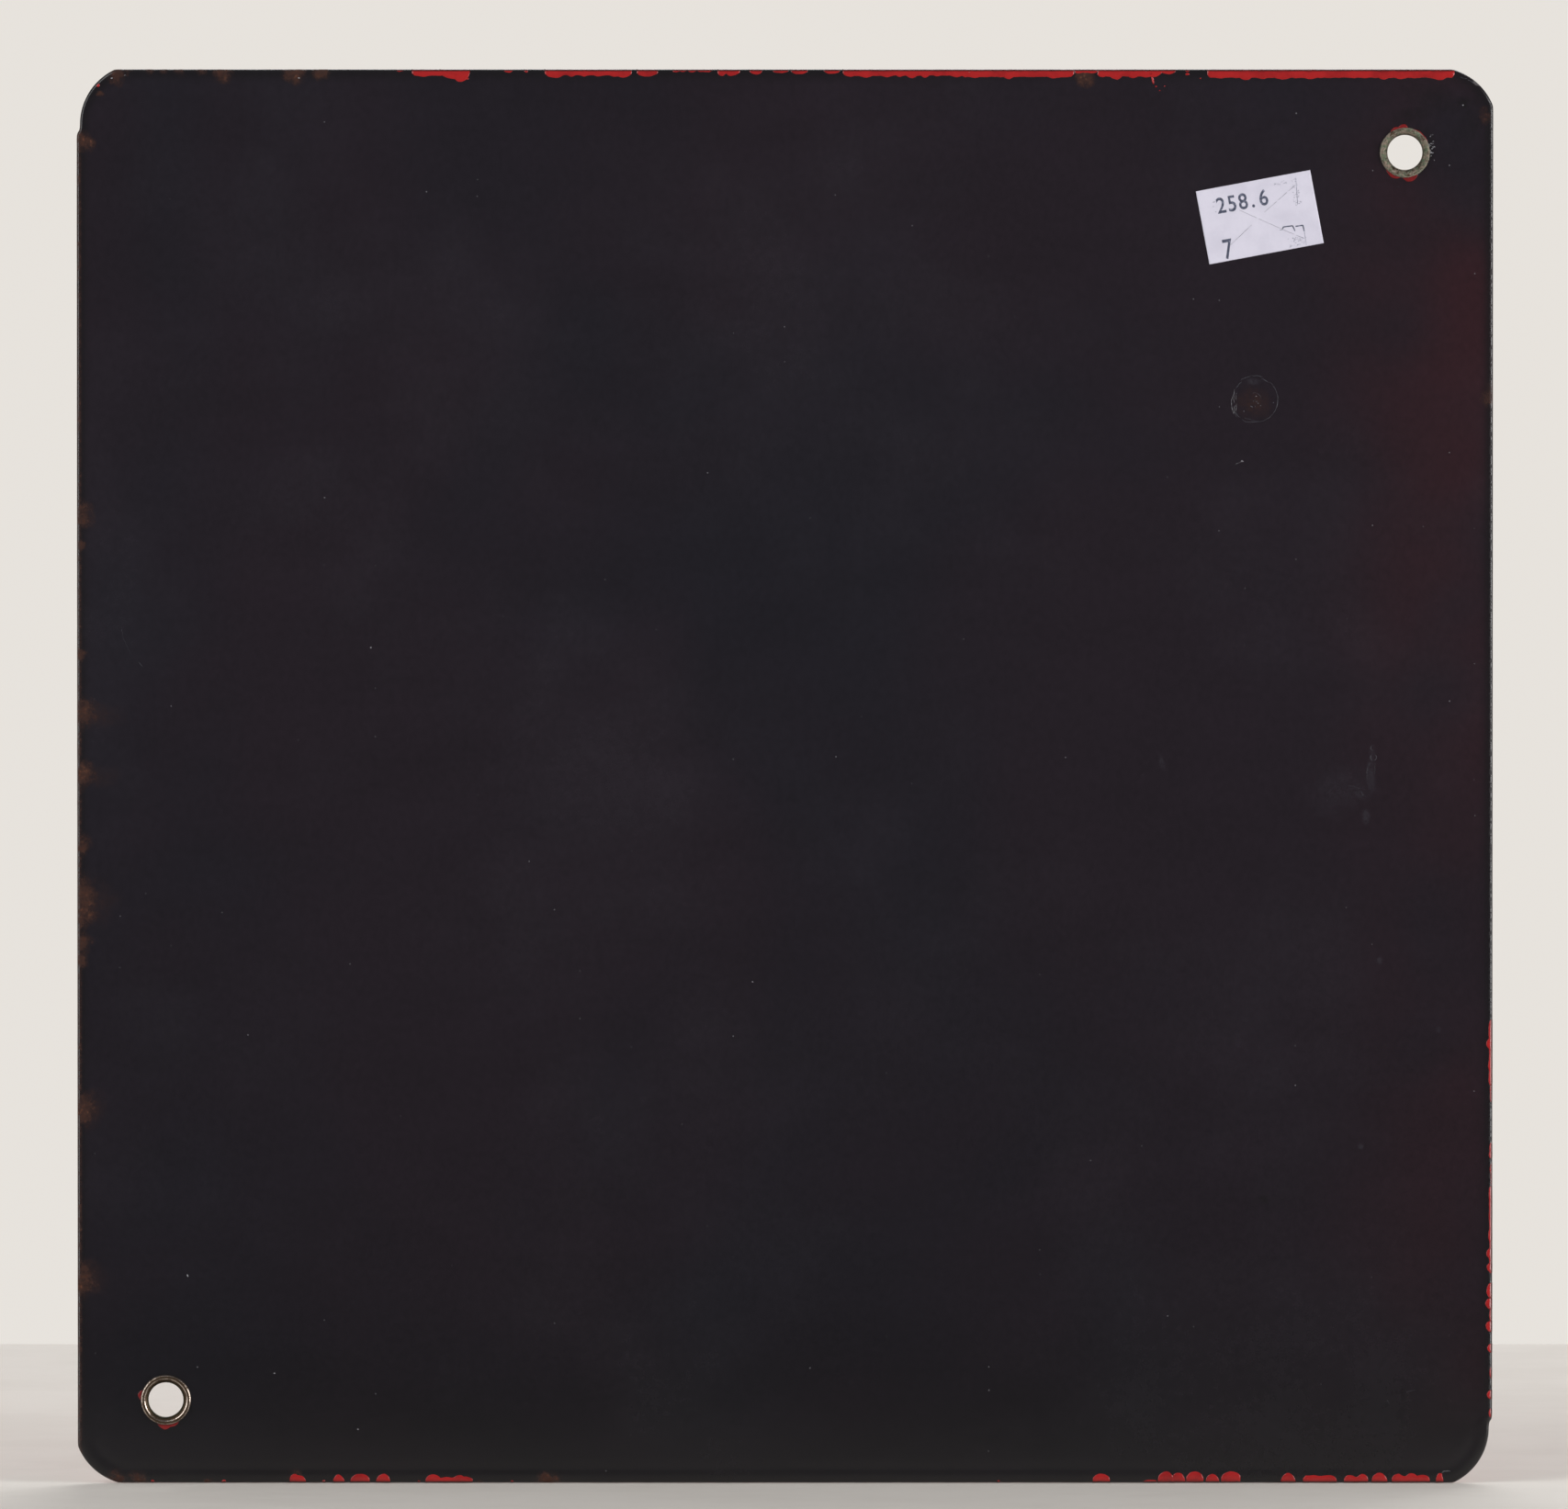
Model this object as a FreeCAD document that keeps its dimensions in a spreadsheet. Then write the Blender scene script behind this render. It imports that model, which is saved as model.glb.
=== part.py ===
import FreeCAD, Part
import math
import os

import Sketcher

# A square sign plate of enamelled steel, upright, seen from its back.
#
# Frame: X to the right of someone who looks at the back, Y towards the front of the sign,
# Z up. The origin is the centre of the plate, halfway through its thickness.
# Lengths are in millimetres and angles in degrees.

# Driving dimensions
SIZES = {
    # Plate: a sheet steel blank with its coat of enamel
    "plate_width": 304.8,
    "plate_height": 304.8,
    "plate_thickness": 2.0,
    "edge_round": 0.45,
    "corner_round": 0.6,
    # Corner punch, and where each blow put its centre from the side and from the end
    "punch_radius": 13.15,
    "punch_leg": 1.2,
    "punch_reach": 3.0,
    "deep_side": 13.85,
    "deep_end": 11.95,
    "shallow_side": 12.3,
    "shallow_end": 12.7,
    # Fixing holes, in two opposite corners
    "hole_side": 19.1,
    "hole_end": 18.0,
    "mouth_chamfer": 0.4,
    "eyelet_clearance": 0.1,
    # Eyelet: drawn brass sheet, with a flat flange in front and a lip rolled over behind
    "brass_thickness": 0.4,
    "bore_radius": 3.75,
    "funnel_width": 0.6,
    "flange_radius": 6.2,
    "flange_bevel": 0.2,
    "lip_radius": 5.45,
    "lip_height": 0.6,
    # Chip in the enamel at the upper right corner
    "chip_radius": 1.6,
    "chip_bite": 1.0,
    "chip_depth": 0.25,
    "chip_angle": 48.5,
    # Paper label stuck to the back, its centre from the side and from the end of the plate
    "label_width": 25.0,
    "label_height": 16.0,
    "label_thickness": 0.1,
    "label_side": 50.3,
    "label_end": 31.9,
    "label_turn": 10.6,
}

# Places and sizes that several pieces share
HOLE_ACROSS = "Sizes.plate_width / 2 - Sizes.hole_side"
HOLE_UP = "Sizes.plate_height / 2 - Sizes.hole_end"
BARREL_RADIUS = "Sizes.bore_radius + Sizes.brass_thickness"
HOLE_RADIUS = BARREL_RADIUS + " + Sizes.eyelet_clearance"
HALF_THICKNESS = "Sizes.plate_thickness / 2"

# Turns, in degrees, and how far two faces may differ in direction and still run on smoothly
FULL_TURN = 360.0
HALF_TURN = 180.0
QUARTER_TURN = 90.0
EIGHTH_TURN = 45.0
SMOOTH_TURN = 3.0

# A sketch's origin, and the place on an arc or circle that is its centre
ORIGIN = (-1, 1)
CENTRE = 3

doc = FreeCAD.newDocument("enamel_sign")

sheet = doc.addObject("Spreadsheet::Sheet", "Sizes")
for row, (alias, value) in enumerate(SIZES.items(), start=1):
    sheet.set("A%d" % row, alias)
    sheet.set("B%d" % row, str(value))
    sheet.setAlias("B%d" % row, alias)
doc.recompute()


def origin_feature(body, role):
    """The body's own origin plane or axis with this role."""
    return next(f for f in body.Origin.OriginFeatures if f.Role == role)


def new_body(name):
    """A body whose label names its piece."""
    body = doc.addObject("PartDesign::Body", name)
    body.Label = name
    return body


def new_sketch(body, name, plane, lift=None):
    """A sketch on one of the body's own planes, lifted along the plane's normal."""
    sketch = body.newObject("Sketcher::SketchObject", name)
    sketch.AttachmentSupport = [(origin_feature(body, plane), "")]
    sketch.MapMode = "FlatFace"
    if lift:
        sketch.setExpression("AttachmentOffset.Base.z", lift)
    return sketch


def measure(expression):
    """The present value of an expression of the sheet's cells."""
    return float(sheet.evalExpression(expression))


def dimension(sketch, kind, name, places, expression):
    """A named dimension between places of the sketch, driven by the sheet."""
    index = sketch.addConstraint(Sketcher.Constraint(kind, *places, measure(expression)))
    sketch.renameConstraint(index, name)
    sketch.setExpression("Constraints." + name, expression)


def constrain(sketch, kind, *places):
    """A constraint of the sketch that has no size."""
    sketch.addConstraint(Sketcher.Constraint(kind, *places))


def rectangle(sketch, width, height):
    """A rectangle centred on the sketch's origin."""
    x = measure(width) / 2
    y = measure(height) / 2
    corners = [FreeCAD.Vector(*c) for c in ((-x, -y, 0), (x, -y, 0), (x, y, 0), (-x, y, 0))]
    for i in range(4):
        sketch.addGeometry(Part.LineSegment(corners[i], corners[(i + 1) % 4]))
    for i in range(4):
        constrain(sketch, "Coincident", i, 2, (i + 1) % 4, 1)
        constrain(sketch, ("Horizontal", "Vertical")[i % 2], i)
    constrain(sketch, "Symmetric", 0, 1, 1, 2, *ORIGIN)
    dimension(sketch, "DistanceX", "width", (0, 1, 0, 2), width)
    dimension(sketch, "DistanceY", "height", (1, 1, 1, 2), height)


def chain(sketch, pieces, smooth=()):
    """Adds a closed outline of lines and arcs, each joined to the next, smoothly after the
    pieces whose numbers are given. A piece is its geometry, and whether it runs backwards,
    from its own end to its own start. Gives the pieces' indices."""
    indices = [sketch.addGeometry(geometry) for geometry, backwards in pieces]
    ends = [(2, 1) if backwards else (1, 2) for geometry, backwards in pieces]
    for i in range(len(pieces)):
        j = (i + 1) % len(pieces)
        joint = "Tangent" if i in smooth else "Coincident"
        constrain(sketch, joint, indices[i], ends[i][1], indices[j], ends[j][0])
    return indices


def straight(points):
    """The straight pieces of an outline that runs through these points."""
    return [line(*start, *end) for start, end in zip(points, points[1:])]


def line(x0, y0, x1, y1):
    """A straight piece of a chain."""
    return Part.LineSegment(FreeCAD.Vector(x0, y0, 0), FreeCAD.Vector(x1, y1, 0)), False


def arc(x, y, radius, start, end, backwards=False):
    """A round piece of a chain, from one angle anticlockwise to another."""
    circle = Part.Circle(FreeCAD.Vector(x, y, 0), FreeCAD.Vector(0, 0, 1), radius)
    return Part.ArcOfCircle(circle, math.radians(start), math.radians(end)), backwards


def pocket(body, name, sketch, depth=None):
    """A pocket into the body's back, or right through it. It has to remove something."""
    before = body.Shape.Volume
    feature = body.newObject("PartDesign::Pocket", name)
    feature.Profile = sketch
    if depth:
        feature.setExpression("Length", depth)
    else:
        feature.Type = "ThroughAll"
        feature.SideType = "Symmetric"
    doc.recompute()
    if not body.Shape.Volume < before:
        raise ValueError(name + " removes nothing")
    return feature


def dress_edges(body, kind, name, choose, width, expression):
    """Rounds or chamfers the edges that a function chooses from the body's last feature. The
    width is the feature's own word for its size."""
    base = body.Tip
    chosen = choose(base.Shape)
    names = []
    for number, edge in enumerate(base.Shape.Edges, start=1):
        if any(edge.isSame(wanted) for wanted in chosen):
            names.append("Edge%d" % number)
    feature = body.newObject("PartDesign::" + kind, name)
    feature.Base = (base, names)
    feature.setExpression(width, expression)
    doc.recompute()


def plan_corners(shape):
    """The edges through the plate's thickness at which its outline turns a corner."""
    corners = []
    for edge in shape.Edges:
        if not isinstance(edge.Curve, Part.Line) or abs(edge.tangentAt(edge.FirstParameter).y) < 0.99:
            continue
        sides = shape.ancestorsOfType(edge, Part.Face)
        if len(sides) != 2:
            continue
        middle = edge.valueAt((edge.FirstParameter + edge.LastParameter) / 2)
        first, second = (side.normalAt(*side.Surface.parameter(middle)) for side in sides)
        if math.degrees(first.getAngle(second)) > SMOOTH_TURN:
            corners.append(edge)
    return corners


def broad_faces(shape):
    """The plate's back and front faces."""
    flat = [face for face in shape.Faces if isinstance(face.Surface, Part.Plane)]
    return sorted(flat, key=lambda face: face.Area)[-2:]


def face_rims(shape):
    """The edges round the outside of both broad faces."""
    return [edge for face in broad_faces(shape) for edge in face.OuterWire.Edges]


def hole_mouths(shape):
    """The edges round the holes in both broad faces."""
    mouths = []
    for face in broad_faces(shape):
        for wire in face.Wires:
            if not wire.isSame(face.OuterWire):
                mouths.extend(wire.Edges)
    return mouths


# Enamelled plate

def punch_waste(sketch, name, side, from_side, from_end):
    """What one blow of the corner punch takes away: all that lies outside a quarter circle and
    its two short legs. The side is -1 for the left corner and 1 for the right one. The legs'
    far ends slope outwards, so a deep blow leaves a slanted step in the plate's edge."""
    left = side < 0
    across = "Sizes.plate_width / 2 - " + from_side
    up = "Sizes.plate_height / 2 - " + from_end
    radius = measure("Sizes.punch_radius")
    leg = measure("Sizes.punch_leg")
    reach = measure("Sizes.punch_reach")
    x = side * measure(across)
    y = measure(up)
    wall = x + side * radius
    roof = y + radius
    far = wall + side * reach
    top = roof + reach
    bottom = y - leg - reach
    first = QUARTER_TURN if left else 0.0
    low_slope, low_leg, bend, top_leg, top_slope, lid, flank = chain(sketch, [
        line(far, bottom, wall, y - leg),
        line(wall, y - leg, wall, y),
        arc(x, y, radius, first, first + QUARTER_TURN, backwards=left),
        line(x, roof, x - side * leg, roof),
        line(x - side * leg, roof, x - side * (leg + reach), top),
        line(x - side * (leg + reach), top, far, top),
        line(far, top, far, bottom),
    ])
    low_end, top_end = (2, 1) if left else (1, 2)
    constrain(sketch, "Vertical", low_leg)
    constrain(sketch, "Vertical", flank)
    constrain(sketch, "Horizontal", top_leg)
    constrain(sketch, "Horizontal", lid)
    constrain(sketch, "Horizontal", bend, CENTRE, bend, low_end)
    constrain(sketch, "Vertical", bend, CENTRE, bend, top_end)
    middle = (bend, CENTRE)
    dimension(sketch, "DistanceX", name + "_across", middle + ORIGIN if left else ORIGIN + middle, across)
    dimension(sketch, "DistanceY", name + "_up", ORIGIN + middle, up)
    dimension(sketch, "Radius", name + "_radius", (bend,), "Sizes.punch_radius")
    # Lengths across are taken from left to right, which differs between the two corners
    near, remote = (1, 2) if left else (2, 1)
    dimension(sketch, "DistanceX", name + "_top_leg", (top_leg, near, top_leg, remote), "Sizes.punch_leg")
    dimension(sketch, "DistanceY", name + "_low_leg", (low_leg, 1, low_leg, 2), "Sizes.punch_leg")
    for part, slope in (("_low", low_slope), ("_top", top_slope)):
        splay = (slope, near, slope, remote)
        dimension(sketch, "DistanceX", name + part + "_splay", splay, "Sizes.punch_reach")
        dimension(sketch, "DistanceY", name + part + "_rise", (slope, 1, slope, 2), "Sizes.punch_reach")


def circle_at(sketch, across, up, radius):
    """A circle whose centre and radius are driven by the sheet."""
    centre = FreeCAD.Vector(measure(across), measure(up), 0)
    ring = sketch.addGeometry(Part.Circle(centre, FreeCAD.Vector(0, 0, 1), measure(radius)))
    dimension(sketch, "DistanceX", "across", ORIGIN + (ring, CENTRE), across)
    dimension(sketch, "DistanceY", "up", ORIGIN + (ring, CENTRE), up)
    dimension(sketch, "Radius", "radius", (ring,), radius)


def make_plate():
    """The blank, its four punched corners, its two holes, the enamel's soft edges and a chip."""
    body = new_body("enamelled_plate")

    blank_outline = new_sketch(body, "blank_outline", "XZ_Plane")
    rectangle(blank_outline, "Sizes.plate_width", "Sizes.plate_height")
    blank = body.newObject("PartDesign::Pad", "blank")
    blank.Profile = blank_outline
    blank.SideType = "Symmetric"
    blank.setExpression("Length", "Sizes.plate_thickness")
    doc.recompute()

    # The punch sat deeper from the side in one pair of opposite corners than in the other
    corner_waste = new_sketch(body, "corner_waste", "XZ_Plane")
    punch_waste(corner_waste, "deep", -1, "Sizes.deep_side", "Sizes.deep_end")
    punch_waste(corner_waste, "shallow", 1, "Sizes.shallow_side", "Sizes.shallow_end")
    corners = pocket(body, "punched_corners", corner_waste)

    hole_outline = new_sketch(body, "hole_outline", "XZ_Plane")
    circle_at(hole_outline, HOLE_ACROSS, HOLE_UP, HOLE_RADIUS)
    hole = pocket(body, "punched_hole", hole_outline)

    # Each of these has its twin half a turn away
    twins = body.newObject("PartDesign::PolarPattern", "twins")
    twins.Originals = [corners, hole]
    twins.Axis = (origin_feature(body, "Y_Axis"), [""])
    twins.Angle = FULL_TURN
    twins.Occurrences = 2
    body.Tip = twins
    doc.recompute()

    # Enamel softens the outline's corners and the rims of both faces, and thins out to a slope
    # round the mouths of the holes, where the eyelets' funnels lie along it
    dress_edges(body, "Fillet", "soft_corners", plan_corners, "Radius", "Sizes.corner_round")
    dress_edges(body, "Fillet", "soft_rims", face_rims, "Radius", "Sizes.edge_round")
    dress_edges(body, "Chamfer", "sloped_mouths", hole_mouths, "Size", "Sizes.mouth_chamfer")

    # The chip is a bite out of the back's enamel, at the punched arc of the upper right corner
    chip_outline = new_sketch(body, "chip_outline", "XZ_Plane", lift=HALF_THICKNESS)
    seat = "(Sizes.punch_radius + Sizes.chip_radius - Sizes.chip_bite)"
    across = "Sizes.plate_width / 2 - Sizes.shallow_side + %s * cos(Sizes.chip_angle * 1 deg)" % seat
    up = "Sizes.plate_height / 2 - Sizes.shallow_end + %s * sin(Sizes.chip_angle * 1 deg)" % seat
    circle_at(chip_outline, across, up, "Sizes.chip_radius")
    pocket(body, "corner_chip", chip_outline, depth="Sizes.chip_depth")
    return body


# Eyelets

def eyelet_section(sketch):
    """Half of the section through the brass, beside its axis, which is the sketch's upright
    one. In front the sheet funnels out of the bore into a flat flange. Behind it funnels
    out to a crest and rolls down until its cut end stands on the enamel."""
    face = measure(HALF_THICKNESS)
    brass = measure("Sizes.brass_thickness")
    bore = measure("Sizes.bore_radius")
    funnel = measure("Sizes.funnel_width")
    bevel = measure("Sizes.flange_bevel")
    flange = measure("Sizes.flange_radius")
    lip = measure("Sizes.lip_radius")
    rise = measure("Sizes.lip_height")
    crest = lip - rise
    barrel = bore + brass
    # Both funnels slope by an eighth of a turn, which moves their hidden side out by this much
    slant = brass / math.sin(math.radians(EIGHTH_TURN))
    tangent = rise * math.sin(math.radians(EIGHTH_TURN))
    lip_start = -face - tangent + (crest - tangent - bore)
    hollow = -face - (rise - brass)
    hollow_edge = bore + slant + (lip_start - hollow)
    seat_edge = bore + slant + funnel - brass
    outside = straight([
        (bore, lip_start),
        (bore, face + brass - funnel),
        (bore + funnel, face + brass),
        (flange - bevel, face + brass),
        (flange, face + brass - bevel),
        (flange, face),
        (seat_edge, face),
        (barrel, face - (seat_edge - barrel)),
        (barrel, hollow + (hollow_edge - barrel)),
        (hollow_edge, hollow),
        (crest, hollow),
        (lip - brass, -face),
        (lip, -face),
    ])
    roll = arc(crest, -face, rise, HALF_TURN + EIGHTH_TURN, FULL_TURN, backwards=True)
    back_funnel = line(crest - tangent, -face - tangent, bore, lip_start)
    (bore_wall, front_funnel, flange_top, flange_edge, flange_rim, flange_seat, front_under, barrel_wall,
     back_under, hollow_roof, hollow_side, cut_end, lip_roll, lip_funnel) = chain(
        sketch, outside + [roll, back_funnel], smooth=(len(outside),))

    for upright in (bore_wall, flange_rim, barrel_wall):
        constrain(sketch, "Vertical", upright)
    for level in (flange_top, flange_seat, hollow_roof, cut_end):
        constrain(sketch, "Horizontal", level)
    constrain(sketch, "Perpendicular", front_funnel, lip_funnel)
    constrain(sketch, "Parallel", front_funnel, front_under)
    constrain(sketch, "Parallel", lip_funnel, back_under)
    constrain(sketch, "Vertical", lip_roll, CENTRE, hollow_side, 1)
    constrain(sketch, "Horizontal", lip_roll, CENTRE, lip_roll, 2)

    middle = (lip_roll, CENTRE)
    funnel_run = (front_funnel, 1, front_funnel, 2)
    dimension(sketch, "DistanceX", "bore", ORIGIN + (bore_wall, 1), "Sizes.bore_radius")
    dimension(sketch, "DistanceX", "barrel", ORIGIN + (barrel_wall, 1), BARREL_RADIUS)
    dimension(sketch, "DistanceX", "funnel_across", funnel_run, "Sizes.funnel_width")
    dimension(sketch, "DistanceY", "funnel_deep", funnel_run, "Sizes.funnel_width")
    dimension(sketch, "DistanceX", "flange", ORIGIN + (flange_rim, 1), "Sizes.flange_radius")
    dimension(sketch, "DistanceX", "bevel_across", (flange_edge, 1, flange_edge, 2), "Sizes.flange_bevel")
    dimension(sketch, "DistanceY", "bevel_deep", (flange_edge, 2, flange_edge, 1), "Sizes.flange_bevel")
    dimension(sketch, "DistanceY", "front", ORIGIN + (flange_seat, 1), HALF_THICKNESS)
    dimension(sketch, "DistanceY", "flange_wall", (flange_seat, 1, flange_top, 1), "Sizes.brass_thickness")
    dimension(sketch, "Distance", "front_wall", (front_under, 2, front_funnel), "Sizes.brass_thickness")
    dimension(sketch, "Distance", "back_wall", (back_under, 1, lip_funnel), "Sizes.brass_thickness")
    dimension(sketch, "DistanceX", "cut_wall", (cut_end, 1, cut_end, 2), "Sizes.brass_thickness")
    dimension(sketch, "DistanceX", "crest", ORIGIN + middle, "Sizes.lip_radius - Sizes.lip_height")
    dimension(sketch, "DistanceY", "back", middle + ORIGIN, HALF_THICKNESS)
    dimension(sketch, "Radius", "roll", (lip_roll,), "Sizes.lip_height")
    roof_height = "Sizes.lip_height - Sizes.brass_thickness"
    dimension(sketch, "DistanceY", "hollow", (hollow_roof, 2) + middle, roof_height)


def make_eyelet(name, way):
    """A brass eyelet through one of the holes: the upper right one for 1, its twin for -1."""
    body = new_body(name)
    body.setExpression("Placement.Base.x", "%d * (%s)" % (way, HOLE_ACROSS))
    body.setExpression("Placement.Base.z", "%d * (%s)" % (way, HOLE_UP))
    section = new_sketch(body, name + "_section", "XY_Plane")
    eyelet_section(section)
    turned = body.newObject("PartDesign::Revolution", name + "_turned")
    turned.Profile = section
    turned.ReferenceAxis = (section, ["V_Axis"])
    turned.Angle = FULL_TURN
    doc.recompute()
    return body


# Paper label

def make_label():
    """The label, which lies on the back's enamel, turned a little."""
    body = new_body("paper_label")
    body.Placement.Rotation = FreeCAD.Rotation(FreeCAD.Vector(0, -1, 0), SIZES["label_turn"])
    body.setExpression("Placement.Rotation.Angle", "Sizes.label_turn")
    body.setExpression("Placement.Base.x", "Sizes.plate_width / 2 - Sizes.label_side")
    body.setExpression("Placement.Base.z", "Sizes.plate_height / 2 - Sizes.label_end")
    outline = new_sketch(body, "label_outline", "XZ_Plane", lift=HALF_THICKNESS)
    rectangle(outline, "Sizes.label_width", "Sizes.label_height")
    paper = body.newObject("PartDesign::Pad", "paper")
    paper.Profile = outline
    paper.setExpression("Length", "Sizes.label_thickness")
    doc.recompute()
    return body


# Build, check and write

pieces = [
    make_plate(),
    make_eyelet("upper_eyelet", 1),
    make_eyelet("lower_eyelet", -1),
    make_label(),
]
doc.recompute()

for item in doc.Objects:
    if "Invalid" in item.State or "Error" in item.State:
        raise ValueError("%s is not sound: %s" % (item.Name, item.State))
for sketch in doc.findObjects("Sketcher::SketchObject"):
    if sketch.solve() != 0:
        raise ValueError(sketch.Name + " can't be solved")
for piece in pieces:
    if piece.Shape.isNull() or not piece.Shape.isValid():
        raise ValueError(piece.Label + " has no sound shape")

os.makedirs("parts", exist_ok=True)
for piece in pieces:
    piece.Shape.exportStep("parts/%s.step" % piece.Label)
    box = piece.Shape.BoundBox
    print("%-16s %9.1f mm3, X %.2f to %.2f, Y %.2f to %.2f, Z %.2f to %.2f" % (
        piece.Label, piece.Shape.Volume, box.XMin, box.XMax, box.YMin, box.YMax, box.ZMin, box.ZMax))
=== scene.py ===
"""Looks for a square enamelled sign plate that is seen from its dark back.

Lengths in the classes are in millimetres, and the meshes are made in metres. X runs to the
right of someone who looks at the back, Y towards the red front, and Z up.
"""
import logging
import math
import random
from dataclasses import dataclass, field
from enum import Enum
from functools import reduce
from typing import Callable, Iterable, Sequence

import bmesh
import bpy
from mathutils import Matrix, Vector


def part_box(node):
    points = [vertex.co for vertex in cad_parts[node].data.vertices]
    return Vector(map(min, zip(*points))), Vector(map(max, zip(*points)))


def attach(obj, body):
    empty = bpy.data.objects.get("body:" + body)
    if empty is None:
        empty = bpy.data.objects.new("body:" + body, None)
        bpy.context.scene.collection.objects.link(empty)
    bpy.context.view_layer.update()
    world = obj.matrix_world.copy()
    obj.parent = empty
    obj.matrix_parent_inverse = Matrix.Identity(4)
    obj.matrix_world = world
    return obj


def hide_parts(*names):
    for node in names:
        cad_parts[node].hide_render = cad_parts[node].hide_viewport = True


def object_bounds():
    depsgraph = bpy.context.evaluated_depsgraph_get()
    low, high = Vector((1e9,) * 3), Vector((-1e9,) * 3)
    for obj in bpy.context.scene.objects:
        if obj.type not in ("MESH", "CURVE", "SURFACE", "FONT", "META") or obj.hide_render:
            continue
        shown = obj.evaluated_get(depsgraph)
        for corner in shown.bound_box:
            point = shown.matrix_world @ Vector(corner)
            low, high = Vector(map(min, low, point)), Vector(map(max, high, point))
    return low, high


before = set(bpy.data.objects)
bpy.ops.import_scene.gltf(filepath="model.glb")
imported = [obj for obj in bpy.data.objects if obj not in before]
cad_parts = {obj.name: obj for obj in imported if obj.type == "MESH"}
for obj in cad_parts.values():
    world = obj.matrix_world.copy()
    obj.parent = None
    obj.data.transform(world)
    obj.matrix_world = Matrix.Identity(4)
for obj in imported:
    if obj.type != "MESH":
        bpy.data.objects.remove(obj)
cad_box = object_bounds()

MM = 0.001
BODY = "root"
log = logging.getLogger("enamel_sign")

Point = tuple[float, float]
Colour = tuple[float, float, float]
Stroke = tuple[float, float, float, float]
Feed = "float | Sequence[float] | bpy.types.NodeSocket"


# Helpers for node trees and meshes

@dataclass
class Graph:
    """A node tree that grows one node at a time."""

    tree: bpy.types.NodeTree

    def add(self, kind: str, inputs: dict | None = None, **settings: object) -> bpy.types.Node:
        """Adds a node.

        Args:
            kind: The node's class name.
            inputs: A value or a socket to link for each input, by name or number.
            settings: The node's own properties.

        Returns:
            The new node.
        """
        node = self.tree.nodes.new(kind)
        for name, value in settings.items():
            setattr(node, name, value)
        for key, value in (inputs or {}).items():
            if isinstance(value, bpy.types.NodeSocket):
                self.tree.links.new(value, node.inputs[key])
            else:
                node.inputs[key].default_value = value
        return node

    def math(self, operation: str, *values: Feed, clamp: bool = False) -> bpy.types.NodeSocket:
        """Gives the result of a sum on up to three numbers."""
        node = self.add("ShaderNodeMath", dict(enumerate(values)), operation=operation, use_clamp=clamp)
        return node.outputs[0]

    def plus(self, first: Feed, *others: Feed) -> bpy.types.NodeSocket:
        """Adds up numbers."""
        return reduce(lambda total, value: self.math("ADD", total, value), others, first)

    def times(self, first: Feed, *others: Feed) -> bpy.types.NodeSocket:
        """Multiplies numbers."""
        return reduce(lambda total, value: self.math("MULTIPLY", total, value), others, first)

    def less(self, value: Feed, taken: Feed) -> bpy.types.NodeSocket:
        """Takes one number from another."""
        return self.math("SUBTRACT", value, taken)

    def vector(self, operation: str, *values: Feed) -> bpy.types.NodeSocket:
        """Gives the vector result of a sum on vectors."""
        return self.add("ShaderNodeVectorMath", dict(enumerate(values)), operation=operation).outputs[0]

    def length(self, value: Feed) -> bpy.types.NodeSocket:
        """Gives a vector's length."""
        return self.add("ShaderNodeVectorMath", {0: value}, operation="LENGTH").outputs["Value"]

    def scaled(self, value: Feed, factor: Feed) -> bpy.types.NodeSocket:
        """Gives a vector times a number."""
        node = self.add("ShaderNodeVectorMath", {0: value, "Scale": factor}, operation="SCALE")
        return node.outputs[0]

    def parts(self, value: Feed) -> tuple[bpy.types.NodeSocket, ...]:
        """Gives a vector's three components."""
        return tuple(self.add("ShaderNodeSeparateXYZ", {0: value}).outputs)

    def joined(self, x: Feed, y: Feed, z: Feed) -> bpy.types.NodeSocket:
        """Gives the vector with these three components."""
        return self.add("ShaderNodeCombineXYZ", {0: x, 1: y, 2: z}).outputs[0]

    def step(self, value: Feed, low: Feed, high: Feed) -> bpy.types.NodeSocket:
        """Gives a smooth rise from 0 at low to 1 at high."""
        inputs = {"Value": value, "From Min": low, "From Max": high}
        return self.add("ShaderNodeMapRange", inputs, interpolation_type="SMOOTHSTEP").outputs[0]

    def mix(self, share: Feed, first: Feed, second: Feed) -> bpy.types.NodeSocket:
        """Gives a colour between two others.

        Args:
            share: How much of the second there is, from 0 to 1.
            first: The first colour.
            second: The second colour.

        Returns:
            The colour.
        """
        node = self.add("ShaderNodeMix", {0: share}, data_type="RGBA")
        for slot, value in ((6, first), (7, second)):
            if isinstance(value, bpy.types.NodeSocket):
                self.tree.links.new(value, node.inputs[slot])
            else:
                node.inputs[slot].default_value = (*value, 1.0)
        return node.outputs[2]

    def noise(self, place: Feed, size: float, detail: float = 3.0, roughness: float = 0.5,
              distortion: float = 0.0, seed: float = 0.0, output: str = "Fac") -> bpy.types.NodeSocket:
        """Gives a noise whose lumps have about this size in millimetres.

        Args:
            place: The place to read it at.
            size: The size of its lumps, in millimetres.
            detail: How many finer noises it adds.
            roughness: How strong the finer ones are.
            distortion: How far it is warped.
            seed: A number that moves its pattern.
            output: Fac for a number or Color for a vector.

        Returns:
            The number or vector.
        """
        moved = self.vector("ADD", place, (0.31 * seed, 0.17 * seed, 0.23 * seed)) if seed else place
        inputs = {"Vector": moved, "Scale": 1.0 / (size * MM), "Detail": detail,
                  "Roughness": roughness, "Distortion": distortion}
        return self.add("ShaderNodeTexNoise", inputs).outputs[output]

    def attribute(self, name: str) -> bpy.types.NodeSocket:
        """Gives a number that the mesh carries under this name."""
        return self.add("ShaderNodeAttribute", attribute_name=name).outputs["Fac"]


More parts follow.
